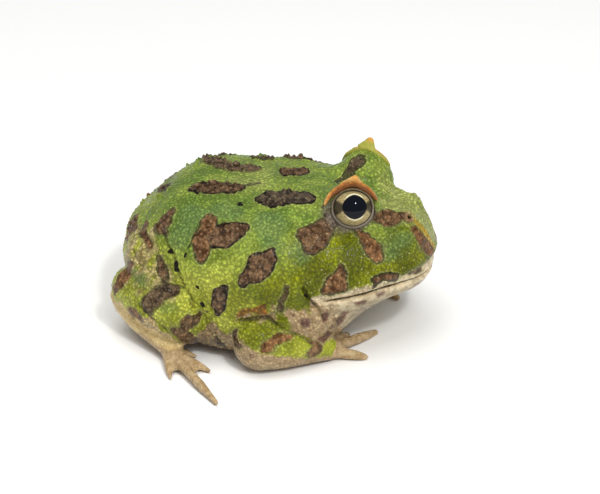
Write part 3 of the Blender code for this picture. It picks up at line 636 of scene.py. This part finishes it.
# Pale skin: the belly, the jaw, a band on the upper lip and parts of the arm. Above zero is pale.
along = even[:, 0]
belly_edge = BELLY_EDGE - 1.5 * bell(along + 7.0, 3.0) + 3.0 * bell(along + 12.5, 2.5)
belly_edge += ripple(places, 4.0, 27)
zones = -nearest_of(drawn_even, PALE_ZONES)
pale = np.maximum(belly_edge - z, zones)
pale = np.where(forearms > 0.5, np.maximum(zones, 8.4 - 0.36 * (along + 2.0) - z), pale)
lip_band = LIP_BAND + 0.02 * (x - 13.0).clip(0, 30) + 0.2 * ripple(places, 3.0, 28)
pale = np.where(face > 0.5, np.where(above_mouth < 0, 3.0, lip_band - above_mouth), pale)
pale -= 6 * np.clip(shanks + digits - hands, 0, 1)
for _ in range(3):
    pale = averaged(pale, ends)

# Yellow-green of the lower flank and cheek, tan of the limbs' ends and tawny mottling of the thighs.
olive = step_up(27.0 + 3.0 * face - z + 3.0 * ripple(places, 14.0, 31), -5.0, 9.0 - 5.0 * face)
from_stripe = np.abs(y) - np.clip(4.5 - 0.7 * (x - 31), 1, 11)
olive *= 1 - face * step_up(-from_stripe, -2.5, 0.5)
# Lighter green on the top of the snout and back, partly painted top light.
light = 0.7 * bell(outside(even, BACK_LIGHT).clip(0), 2.5)
light = np.maximum(bell(outside(even, SNOUT_TOP).clip(0), 2.0), light)
# Darker olive of the cheeks, the arms and the shoulder, partly their own colour and partly painted shade.
deep = np.clip(face + 0.5 * arms + bell(outside(even, DEEP_ZONE).clip(0), 3.0), 0, 1)
tan_edge = 0.6 * ripple(places, 2.2, 33) - outside(drawn_even, TAN_ZONE)
tan = np.maximum(digits * 1.5, shanks * step_up(tan_edge, -0.6, 0.8))
tan = np.clip(np.maximum(tan, shanks * step_up(4.5 - z, -1.0, 1.5)), 0, 1)
tawny = np.clip(thighs * 1.3, 0, 1) * step_up(ripple(places, 3.5, 41) + 0.8, -0.6, 0.6)

# The bare grey skin round the lower and rear lids.
lid_skin = np.zeros(len(places))
for side, _ in SIDES:
    _, radius, outward, across, upward = from_eye(places, side)
    across = across * side
    reach = np.hypot(across, upward) - lid_edge(np.arctan2(upward, across)) - 1.0
    rear = step_up(across, 0.0, 4.0)
    near = bell(np.maximum(reach, 0), 0.25 + 1.5 * rear) * (radius < 9) * (outward > -1)
    lid_skin = np.maximum(lid_skin, near * step_up(1.5 - upward + 1.5 * rear, 0, 2.5))

# Granules over the flanks, back and head, and warts on the blotches of the back.
places = points_of(skin)
smooth_parts = np.maximum(digits, jaw) * 1.2 + 0.6 * bell(outside(even, PALE_ZONES[0]).clip(0), 1.5)
smooth_parts += 0.7 * forearms * step_up(8.0 - z, -1, 2) + 0.9 * at_mouth * bell(above_mouth - 0.5, 1.3)
smooth_parts = np.clip(smooth_parts, 0, 1)
spacing = GRANULE_SPACING + 0.25 * torso * step_up(26.0 - z, -4.0, 6.0) - 0.05 * face
spacing *= 1 + 0.25 * np.clip(ripple(places, 3.5, 50), -1, 1)
granule_spots = scattered(places, smooth_parts < 0.5, spacing, 51)
chance = np.random.default_rng(52)
granule_size = 0.36 * spacing[granule_spots] * chance.uniform(0.7, 1.2, len(granule_spots))
granule = mounds(places, granule_spots, granule_size, chance.uniform(0.35, 1.0, len(granule_spots)))
granule *= 1 - smooth_parts
granule *= 1 - bell(above_mouth, 0.8) * at_mouth
relief = GRANULE_RELIEF + 0.16 * torso * step_up(28.0 - z, -4.0, 8.0) - 0.05 * face
warty = (blotch < -0.1) & (torso > 0.5) & (z > 10)
wart_spots = scattered(places, warty, np.full(len(places), WART_SPACING), 61)
wart_size = chance.uniform(0.4, 0.65, len(wart_spots))
wart = mounds(places, wart_spots, wart_size, np.ones(len(wart_spots)))
wart *= step_up(-blotch, -0.5, 0.4) * np.clip(torso, 0, 1)
wart_height = (WART_HEIGHT + 0.35 * step_up(z, 30.0, 33.0)) * (1 + 0.6 * ripple(places, 3.0, 63))
push(skin, granule * relief * (1 - wart) + wart * wart_height)

places = points_of(skin)
places[:, 2] = np.maximum(places[:, 2], 0.0)
set_points(skin, places)
# What the skin's material reads at each point.
SKIN_FIELDS = dict(
    blotch=np.clip(blotch, -4, 4), tone=tone, rim=rim, violet=np.clip(violet, -3, 3), dots=np.clip(dots, -3, 3),
    bluish=np.clip(bluish, -6, 6), pale=np.clip(pale, -4, 4), olive=olive, tan=tan, tawny=tawny,
    granule=granule + 0.6 * smooth_parts, wart=wart, pit=np.clip(pit, 0, 5), face=face, deep=deep, light=light,
    mouth=np.abs(above_mouth) + 1.2 * (1 - at_mouth), throat=jaw * step_up(-above_mouth, 0.6, 2.8),
    smooth=smooth_parts, rust=np.clip(rust, -3, 3), ochre=np.clip(ochre, -3, 3), crease=crease,
    lid_skin=lid_skin,
)
store(skin, **SKIN_FIELDS)
thin_out(skin, SKIN_TRIANGLES)
in_metres(skin)


# The eyes, lids and horns
def aimed(shape, way, place):
    """Turns a shape drawn along +Z, with +X level, to look along a way and moves it to its place."""
    forward = way.normalized()
    level = Vector((0, 0, 1)).cross(forward).normalized()
    turn = Matrix((level, forward.cross(level), forward)).transposed()
    bmesh.ops.rotate(shape, matrix=turn, verts=shape.verts)
    bmesh.ops.translate(shape, vec=place, verts=shape.verts)


def eyeball(name, side):
    """A ball with a bulging cornea. It keeps each point's place across the eye for the iris."""
    shape = bmesh.new()
    bmesh.ops.create_uvsphere(shape, u_segments=96, v_segments=64, radius=EYE_RADIUS)
    for vertex in shape.verts:
        lean = math.degrees(vertex.co.angle(Vector((0, 0, 1))))
        vertex.co *= 0.99 + CORNEA_BULGE * math.exp(-((lean / CORNEA_LEAN) ** 2))
    across = [vertex.co.x for vertex in shape.verts]
    upward = [vertex.co.y for vertex in shape.verts]
    aimed(shape, to_side(GAZE, side), to_side(EYE_CENTRE, side))
    made = object_of(name, shape)
    store(made, across=across, upward=upward)
    return in_metres(made)


def lid_ring(name, side):
    """The wet rims of both lids, a soft oval band that hugs the eyeball."""
    shape = bmesh.new()
    bmesh.ops.create_circle(shape, segments=20, radius=1.0)
    bmesh.ops.translate(shape, vec=(EYE_RADIUS, 0, 0), verts=shape.verts)
    bmesh.ops.rotate(shape, matrix=Matrix.Rotation(math.radians(90), 3, "X"), verts=shape.verts)
    bmesh.ops.spin(
        shape, geom=shape.verts[:] + shape.edges[:], angle=2 * math.pi, steps=96, axis=(0, 0, 1),
        cent=(0, 0, 0), use_merge=True,
    )
    bmesh.ops.remove_doubles(shape, verts=shape.verts, dist=0.0005)
    inner = []
    for vertex in shape.verts:
        turn = math.atan2(vertex.co.y, vertex.co.x)
        aside, upward = math.hypot(vertex.co.x, vertex.co.y) - EYE_RADIUS, vertex.co.z
        above, below = max(0.0, math.sin(turn)), max(0.0, -math.sin(turn))
        wide = LID_WIDTH + 0.46 * below
        lean = math.asin(lid_edge(turn) / EYE_RADIUS) + (wide + wide * aside) / 5.3
        rise = 5.08 + 0.28 * upward + 0.3 * above + 0.05 * math.sin(9 * aside + 1.0)
        way = Vector((math.sin(lean) * math.cos(turn), math.sin(lean) * math.sin(turn), math.cos(lean)))
        vertex.co = way * rise
        inner.append(-aside)
    bmesh.ops.recalc_face_normals(shape, faces=shape.faces)
    upward = [vertex.co.y for vertex in shape.verts]
    aimed(shape, to_side(LID_AXIS, side), to_side(EYE_CENTRE, side))
    made = object_of(name, shape)
    store(made, upward=upward, inner=inner)
    return in_metres(made)


def brow_horn(name, side):
    """The orange rim of the upper lid, drawn up in its middle to the pointed horn."""
    axis, level, upright = eye_frame(side)
    centre = to_side(EYE_CENTRE, side)
    point = to_side(HORN_POINT, side)
    whole = bmesh.new()

    def bead(spot, turn, wide, deep, tall):
        start = len(whole.verts)
        bmesh.ops.create_icosphere(whole, subdivisions=2, radius=1.0)
        whole.verts.ensure_lookup_table()
        fresh = whole.verts[start:]
        bmesh.ops.scale(whole, vec=(wide, deep, tall), verts=fresh)
        bmesh.ops.rotate(whole, matrix=turn, verts=fresh)
        bmesh.ops.translate(whole, vec=spot, verts=fresh)

    # The rim is a row of beads along the lid, arched up in its middle. Its back end runs further out.
    for number in range(RIM_BEADS + 1):
        angle = RIM_ENDS[0] + (RIM_ENDS[1] - RIM_ENDS[0]) * number / RIM_BEADS
        share = angle / RIM_ENDS[0 if angle < 0 else 1]
        reach = RIM_REACH + (1.2 if angle < 0 else 0.5) * share ** 2 + 0.5 * bell(angle, 24)
        outward = level * math.sin(math.radians(angle)) * -side + upright * math.cos(math.radians(angle))
        size = RIM_SIZE * (1 - 0.6 * share ** 3)
        bead(centre + axis * (3.1 - 0.5 * share) + outward * reach, Matrix.Identity(3), size, size, size)
    # The horn is a pile of flat beads from the rim to the point, each smaller than the last.
    foot = centre + axis * 3.0 + upright * 5.5
    way = (point - foot).normalized()
    across = (level - way * level.dot(way)).normalized()
    turn = Matrix((across, way.cross(across), way)).transposed()
    for number in range(HORN_BEADS + 1):
        share = number / HORN_BEADS
        bead(foot.lerp(point, 0.86 * share), turn, 1.75 * (1 - share) ** 0.9 + 0.75, 0.8 - 0.25 * share, 0.5)
    made = object_of(name, whole)
    fuse(made, 0.16)
    ends = edges_of(made)
    places = smoothed(points_of(made), ends, 8)
    out = places - np.array(centre)
    outer = np.hypot(out @ np.array(level), out @ np.array(upright)) - 5.1
    # Small granules crown the outer edge.
    crown = 0.16 * step_up(outer, 0.1, 0.7) * np.maximum(ripple(places, 0.9, 71), 0)
    places += crown[:, None] * np.array(upright)
    set_points(made, places)
    store(
        made, tip=1 - np.clip(np.linalg.norm(places - np.array(point), axis=1) / 4.0, 0, 1), outer=outer,
        inward=-(normals_of(made) @ np.array(axis)),
    )
    return in_metres(made)


# Materials
def linear(code):
    """An sRGB hex colour as linear red, green, blue and alpha."""
    parts = [int(code[k : k + 2], 16) / 255 for k in (1, 3, 5)]
    return (*(c / 12.92 if c <= 0.04045 else ((c + 0.055) / 1.055) ** 2.4 for c in parts), 1.0)


def add(tree, kind, settings=(), **inputs):
    """Adds a node with its settings. Inputs go by name, or _ and number: a value, or a socket to link."""
    node = tree.nodes.new(kind)
    for key, value in dict(settings).items():
        setattr(node, key, value)
    for key, value in inputs.items():
        slot = node.inputs[int(key[1:]) if key[1:].isdigit() else key.replace("_", " ")]
        if isinstance(value, bpy.types.NodeSocket):
            tree.links.new(value, slot)
        else:
            slot.default_value = value
    return node


def new_material(name, *fields):
    """A material, its tree, the place on the object, and the numbers kept at its points, each by its name."""
    made = bpy.data.materials.new(name)
    made.use_nodes = True
    tree = made.node_tree
    tree.nodes.clear()
    kept = {}
    for field in fields:
        kept[field] = add(tree, "ShaderNodeAttribute", {"attribute_name": field}).outputs["Fac"]
    return made, tree, add(tree, "ShaderNodeTexCoord").outputs["Object"], kept


def finish_surface(tree, colour, height, strength, depth, **surface):
    """Ends a material with relief too fine for the mesh, its depth in millimetres, and the surface itself."""
    bump = add(tree, "ShaderNodeBump", Strength=strength, Distance=depth * MM, Height=height)
    shader = add(tree, "ShaderNodeBsdfPrincipled", Base_Color=colour, Normal=bump.outputs[0], **surface)
    add(tree, "ShaderNodeOutputMaterial", Surface=shader.outputs[0])


COLOUR_MIX = {"data_type": "RGBA", "clamp_factor": True}
SOFT = {"interpolation_type": "SMOOTHSTEP"}
WET_SKIN_IOR = 1.38


def layer(tree, known, under, over, *shares, curve="SMOOTHSTEP"):
    """Lays one colour over another, as far as the product of the shares.

    A colour is a hex code, a socket, or a tuple of what makes another layer. A share is a number, a known name,
    or a name with the value where it starts, the value where it is full, and its strength there.
    """
    colours = [layer(tree, known, *paint) if isinstance(paint, tuple) else paint for paint in (under, over)]
    under, over = (linear(paint) if isinstance(paint, str) else paint for paint in colours)
    total = None
    for share in shares:
        if isinstance(share, tuple):
            name, start, full, strength = share
            ends = (0.0, strength) if full > start else (strength, 0.0)
            share = add(
                tree, "ShaderNodeMapRange", {"interpolation_type": curve}, _0=known[name], _1=min(start, full),
                _2=max(start, full), _3=ends[0], _4=ends[1],
            ).outputs[0]
        elif isinstance(share, str):
            share = known[share]
        if total is not None:
            share = add(tree, "ShaderNodeMath", {"operation": "MULTIPLY"}, _0=total, _1=share).outputs[0]
        total = share
    return add(tree, "ShaderNodeMix", COLOUR_MIX, _0=total, _6=under, _7=over).outputs[2]


def skin_material():
    """Thin, moist frog skin over fine wet granules: pale tips, partly a painted highlight, and painted shade at
    their feet.
    """
    made, tree, where, known = new_material("moist_granular_frog_skin", *SKIN_FIELDS)
    # Clouds of 7 mm in the green, mottling of 1.5 mm, the skin's grain of 0.35 mm, fine pebbles of 0.7 mm
    # between the larger granules, and pale painted glints 0.9 mm apart, partly the skin's own pale specks.
    for name, size in (("cloud", 7.0), ("mottle", 1.5), ("grain", 0.35)):
        noise = add(tree, "ShaderNodeTexNoise", Vector=where, Scale=1 / (size * MM), Detail=3.0)
        known[name] = noise.outputs["Fac"]
    for name, size in (("pebbles", 0.7), ("glint_cells", 0.9)):
        known[name] = add(tree, "ShaderNodeTexVoronoi", Vector=where, Scale=1 / (size * MM)).outputs["Distance"]
    # Soft steps: a name, its source, two values of the source, and what becomes of them.
    for name, source, low, high, first, last in (
        ("drift", "cloud", 0.38, 0.62, 0.0, 1.0),
        ("mottled", "mottle", 0.35, 0.65, 0.0, 1.0),
        ("pebble", "pebbles", 0.2, 0.65, 1.0, 0.0),
        # Painted shade in the gaps between the pebbles.
        ("painted_pebble_shade", "pebble", 0.0, 1.0, 0.68, 1.14),
        ("speck", "glint_cells", 0.10, 0.24, 1.0, 0.0),
        ("grainy", "grain", 0.25, 0.5, 0.7, 1.0),
        # How strong the granules' pale tips are, partly a painted highlight.
        ("tip", "cloud", 0.3, 0.6, 0.06, 0.28),
        ("off_blotch", "blotch", -0.4, 0.4, 0.25, 1.0),
        # Painted shade at the granules' feet and a little painted light on their tops.
        ("foot", "granule", 0.0, 0.5, 0.66, 1.06),
        ("gloss", "mottle", 0.3, 0.7, 0.2, 0.42),
    ):
        step = add(tree, "ShaderNodeMapRange", SOFT, _0=known[source], _1=low, _2=high, _3=first, _4=last)
        known[name] = step.outputs[0]
    # The ragged edges of the pale skin and the blotches, how many painted glints show, the painted shade between
    # granules and pebbles, where smooth skin keeps nearly its own tone with little painted shade, and the fine
    # relief.
    for name, operation, first, second, third in (
        ("ragged", "MULTIPLY_ADD", "mottle", 1.6, "pale"),
        ("edge", "MULTIPLY_ADD", "mottle", 0.4, "blotch"),
        ("inner", "MULTIPLY_ADD", "rim", 0.55, "edge"),
        ("often", "MULTIPLY_ADD", "face", 0.35, 0.15),
        ("even_tone", "MULTIPLY", "smooth", 0.97, 0.0),
        ("between", "MAXIMUM", "painted_pebble_shade", "even_tone", 0.0),
        ("shade", "MULTIPLY", "foot", "between", 0.0),
        ("domed", "MULTIPLY", "pebble", 0.8, 0.0),
        ("height", "MULTIPLY_ADD", "grain", 0.35, "domed"),
    ):
        known[name] = add(
            tree, "ShaderNodeMath", {"operation": operation}, _0=known[first], _1=known.get(second, second),
            _2=known.get(third, third),
        ).outputs[0]

    # Olive: yellow-green on the flank, darker olive on the cheek, which is partly painted shade.
    flank, cheek = ("#969C26", "#C4C84C", "drift"), ("#646A00", "#848A02", "drift")
    # Cream on the lips, and darker tan on the throat below them as painted shade under the jaw.
    lips = (("#B6A482", "#D8C8A6", "mottled"), ("#8C7E64", "#A89C80", "mottled"), "throat")
    colour = layer(tree, known, "#718B34", "#97AC44", "drift")
    for paint, *shares in (
        # Lighter green where the painted top light falls.
        (("#A6AE58", "#BEC46E", "mottled"), "light", 0.8),
        ((flank, cheek, "deep"), "olive"),
        # Blue-green, mostly a painted sheen.
        ("#708C50", ("bluish", 1.6, -1.4, 0.6)),
        (("#9C8A52", "#D4C088", "mottled"), "tawny", 0.95),
        (("#BCA26C", "#CDB784", "mottled"), ("tan", 0.2, 0.8, 1.0)),
        # Pale skin: tan below the flank, cream on lips and jaw, and darker on the throat as painted shade under
        # the jaw.
        ((("#9A805A", "#B49C76", "mottled"), lips, "face"), ("ragged", 0.3, 1.3, 1.0)),
        (("#54382E", "#6E4E40", "mottled"), ("violet", 0.6, -0.3, 0.95)),
        # Blotches: a faint pale edge, a ragged blackish rim, then brown that is dull or reddish by its tone.
        ("#B5B070", ("edge", 0.7, 0.35, 0.3)),
        (("#120D07", "#2C2012", "mottled"), ("edge", 0.3, 0.1, 1.0), "rim"),
        (
            (("#332A20", "#705F4A", "mottled"), ("#623E1E", "#A27246", "mottled"), "tone"),
            ("inner", 0.45, -0.1, 1.0), "grainy",
        ),
        (("#6A3A14", "#A8652A", "mottled"), ("rust", 0.2, -0.4, 0.85)),
        ("#C9A432", ("ochre", 0.25, -0.25, 0.8)),
        ("#14130E", ("dots", 0.08, -0.08, 1.0)),
        (("#54463A", "#8A7E70", "mottled"), "lid_skin", 0.85),
    ):
        colour = layer(tree, known, colour, paint, *shares)
    # The painted shade darkens all the colours laid so far.
    shaded = add(tree, "ShaderNodeVectorMath", {"operation": "SCALE"}, _0=colour, Scale=known["shade"])
    colour = shaded.outputs[0]
    for paint, *shares in (
        # Pale on the granules' tips, partly a painted highlight, then painted glints and pale warts.
        (("#B2BA62", "#B6B83C", "olive"), ("granule", 0.7, 1.0, 1.0), "tip", "off_blotch"),
        # Painted glints on the granules, partly the skin's own pale specks.
        ("#D8D29A", "speck", ("mottle", 0.48, 0.58, 1.0), "often"),
        (("#76674E", "#B08460", "tone"), ("wart", 0.5, 1.0, 0.5)),
        # Painted shade in the creases, the nostril's tan rim, and painted shade inside the nostril and between the
        # lips.
        ("#2E2410", ("crease", 0.15, 0.9, 0.7)),
        ("#9C7A58", ("pit", 1.4, 1.0, 0.5)),
        # Painted shade inside the nostril.
        ("#2E180C", ("pit", 0.65, 0.35, 0.95)),
        # Painted shadow in the slit between the lips.
        ("#3A2818", ("mouth", 0.35, 0.1, 0.85)),
    ):
        colour = layer(tree, known, colour, paint, *shares)
    finish_surface(
        tree, colour, known["height"], 0.85, 0.2, Roughness=known["gloss"], IOR=WET_SKIN_IOR,
        Specular_IOR_Level=0.4, Subsurface_Weight=0.05, Subsurface_Scale=0.8 * MM,
    )
    return made


def eye_material():
    """A frog's eye: an olive-gold iris flecked with brown, a blue-black pupil and a clear, wet cornea."""
    made, tree, where, known = new_material("wet_gold_iris", "across", "upward")
    for name, operation, first, second in (
        ("aside", "ABSOLUTE", "across", 0.0),
        ("height", "ABSOLUTE", "upward", 0.0),
        # The pupil's edge is where reach is 1. It has a blunt point at each side.
        ("wide", "DIVIDE", "aside", PUPIL_HALF[0]),
        ("wide", "POWER", "wide", 1.7),
        ("high", "DIVIDE", "height", PUPIL_HALF[1]),
        ("high", "POWER", "high", 1.95),
        ("reach", "ADD", "wide", "high"),
        # The distance from the pupil's middle.
        ("wide", "MULTIPLY", "across", "across"),
        ("high", "MULTIPLY", "upward", "upward"),
        ("away", "ADD", "wide", "high"),
        ("away", "SQRT", "away", 0.0),
        # A dark wedge at each corner of the pupil, and a thin cream ring that fades there.
        ("slope", "MULTIPLY", "height", 1.6),
        ("wedge", "SUBTRACT", "aside", "slope"),
        ("fading", "SUBTRACT", "aside", 1.6),
        ("fading", "MAXIMUM", "fading", 0.0),
        ("fading", "MULTIPLY", "fading", 0.5),
        ("ring", "ADD", "reach", "fading"),
    ):
        known[name] = add(
            tree, "ShaderNodeMath", {"operation": operation}, _0=known[first], _1=known.get(second, second)
        ).outputs[0]
    veins = add(tree, "ShaderNodeTexNoise", Vector=where, Scale=1 / (0.35 * MM), Detail=5.0, Roughness=0.7)
    known["veins"] = veins.outputs["Fac"]
    colour = "#74613A"
    for paint, share in (
        ("#BEAE80", ("veins", 0.35, 0.65, 1.0)),
        # Darker towards the top of the iris: painted shade under the upper lid.
        ("#6E6A4A", ("upward", 1.5, 3.6, 0.5)),
        ("#4A3E2A", ("away", 3.9, 4.6, 0.8)),
        ("#E4DBB4", ("ring", 1.36, 1.2, 0.95)),
        ("#241E18", ("wedge", 0.7, 1.7, 0.9)),
        ("#070B13", ("reach", 1.10, 1.02, 1.0)),
    ):
        colour = layer(tree, known, colour, paint, share, curve="LINEAR")
    shader = add(
        tree, "ShaderNodeBsdfPrincipled", Base_Color=colour, Roughness=0.15, Specular_IOR_Level=0.0,
        Coat_Weight=0.6, Coat_Roughness=0.02, Coat_IOR=WET_SKIN_IOR,
    )
    add(tree, "ShaderNodeOutputMaterial", Surface=shader.outputs[0])
    return made


def lid_material():
    """Smooth, wet lid rims: grey-violet below, umber above that is partly painted shade, and painted shadow along
    the eye.
    """
    made, tree, where, known = new_material("wet_lid_rim_skin", "upward", "inner")
    grain = add(tree, "ShaderNodeTexNoise", Vector=where, Scale=1 / (0.5 * MM), Detail=3.0).outputs["Fac"]
    known["grain"] = grain
    colour = "#867A6E"
    for paint, share in (
        # Umber towards the top, partly the lid's own colour and partly painted shade under the brow rim.
        ("#5E4C32", ("upward", -1.0, 3.0, 1.0)),
        ("#8E8468", ("grain", 0.4, 0.7, 0.5)),
        # A painted shadow where the lid meets the eyeball.
        ("#15120D", ("inner", 0.7, 0.95, 0.9)),
    ):
        colour = layer(tree, known, colour, paint, share, curve="LINEAR")
    finish_surface(tree, colour, grain, 0.4, 0.06, Roughness=0.35, IOR=WET_SKIN_IOR)
    return made


def horn_material():
    """Soft orange skin of the brow horn, finely granular: red-brown at the lid, pale along its crown and
    point, and green behind where it meets the eye's mound."""
    made, tree, where, known = new_material("soft_orange_horn_skin", "outer", "inward", "tip")
    blotches = add(tree, "ShaderNodeTexNoise", Vector=where, Scale=1 / (1.0 * MM), Detail=4.0)
    known["blotches"] = blotches.outputs["Fac"]
    colour = "#A5662A"
    for paint, share in (
        ("#D08E42", ("blotches", 0.35, 0.65, 1.0)),
        ("#5E3016", ("outer", 0.9, 0.2, 0.85)),
        ("#E0C684", ("outer", 0.8, 1.4, 0.5)),
        ("#97993F", ("inward", -0.4, 0.1, 0.95)),
        ("#C88E40", ("tip", 0.6, 0.9, 0.9)),
    ):
        colour = layer(tree, known, colour, paint, share, curve="LINEAR")
    grain = add(tree, "ShaderNodeTexVoronoi", Vector=where, Scale=1 / (0.45 * MM)).outputs["Distance"]
    finish_surface(tree, colour, grain, 0.6, 0.1, Roughness=0.45, IOR=WET_SKIN_IOR)
    return made


def floor_material():
    """Matt white paper with a faint tooth, which shows as nothing but a soft, even white."""
    made, tree, where, _ = new_material("matt_white_studio_paper")
    grain = add(tree, "ShaderNodeTexNoise", Vector=where, Scale=1 / (1.0 * MM)).outputs["Fac"]
    finish_surface(tree, linear("#F4F4F2"), grain, 0.02, 0.02, Roughness=0.9)
    return made


skin.data.materials.append(skin_material())
eye_look, lid_look, horn_look = eye_material(), lid_material(), horn_material()
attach(skin, "root")
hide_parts(*FLESH)
for side, word in SIDES:
    for made, look, node, slot in (
        (eyeball(f"{word}_eyeball", side), eye_look, f"{word}_eye", "wet_eye"),
        (brow_horn(f"{word}_brow_horn", side), horn_look, f"{word}_horn", "lid_horn_orange"),
        (lid_ring(f"{word}_lids", side), lid_look, None, "moist_skin_green"),
    ):
        made.data.materials.append(look)
        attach(made, "root")
        if node:
            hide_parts(node)


# Floor, lights and camera
def studio_floor():
    shape = bmesh.new()
    bmesh.ops.create_grid(shape, x_segments=2, y_segments=2, size=PAPER_HALF)
    made = object_of("studio_floor", shape)
    made.data.materials.append(floor_material())


def area_light(name, place, size, power, mirrored):
    """A square softbox, or a small round lamp whose image the wet skin and eyes mirror."""
    data = bpy.data.lights.new(name, "AREA")
    data.shape = "DISK" if mirrored else "SQUARE"
    data.size = size
    data.energy = power
    made = bpy.data.objects.new(name, data)
    made.location = place
    made.rotation_mode = "QUATERNION"
    made.rotation_quaternion = Vector(place).to_track_quat("Z", "Y")
    made.visible_glossy = mirrored
    bpy.context.scene.collection.objects.link(made)


def place_camera():
    azimuth, elevation = math.radians(VIEW_AZIMUTH), math.radians(VIEW_ELEVATION)
    level = math.cos(elevation)
    back = Vector((math.sin(azimuth) * level, -math.cos(azimuth) * level, math.sin(elevation)))
    right = Vector((math.cos(azimuth), math.sin(azimuth), 0))
    up = back.cross(right)
    aside = (EYE_PIXEL[0] - PHOTO_WIDTH / 2) * MM_PER_PIXEL
    above = (PHOTO_HEIGHT / 2 - EYE_PIXEL[1]) * MM_PER_PIXEL
    target = (VIEWED_EYE - right * aside - up * above) * MM
    data = bpy.data.cameras.new("photo_view")
    data.sensor_width = SENSOR_WIDTH
    data.lens = SENSOR_WIDTH * VIEW_DISTANCE / (PHOTO_WIDTH * MM_PER_PIXEL)
    data.clip_start = 0.01
    camera = bpy.data.objects.new("photo_view", data)
    camera.location = target + back * VIEW_DISTANCE * MM
    camera.rotation_mode = "QUATERNION"
    camera.rotation_quaternion = back.to_track_quat("Z", "Y")
    bpy.context.scene.collection.objects.link(camera)
    bpy.context.scene.camera = camera


studio_floor()
# Name, place and size in metres, power in watts, and whether wet skin mirrors it.
for light_row in (
    ("overhead_softbox", (-0.15, -0.15, 1.1), 0.9, 7.5, False),
    ("front_softbox", (0.31, -0.48, 0.62), 0.35, 2.6, False),
    ("key_lamp", (0.31, -0.48, 0.64), 0.07, 2.0, True),
):
    area_light(*light_row)
world = bpy.data.worlds.new("studio")
world.use_nodes = True
world.node_tree.nodes["Background"].inputs["Color"].default_value = linear("#FFFFFF")
world.node_tree.nodes["Background"].inputs["Strength"].default_value = WORLD_LIGHT
bpy.context.scene.world = world
bpy.context.scene.view_settings.view_transform = "Standard"
place_camera()
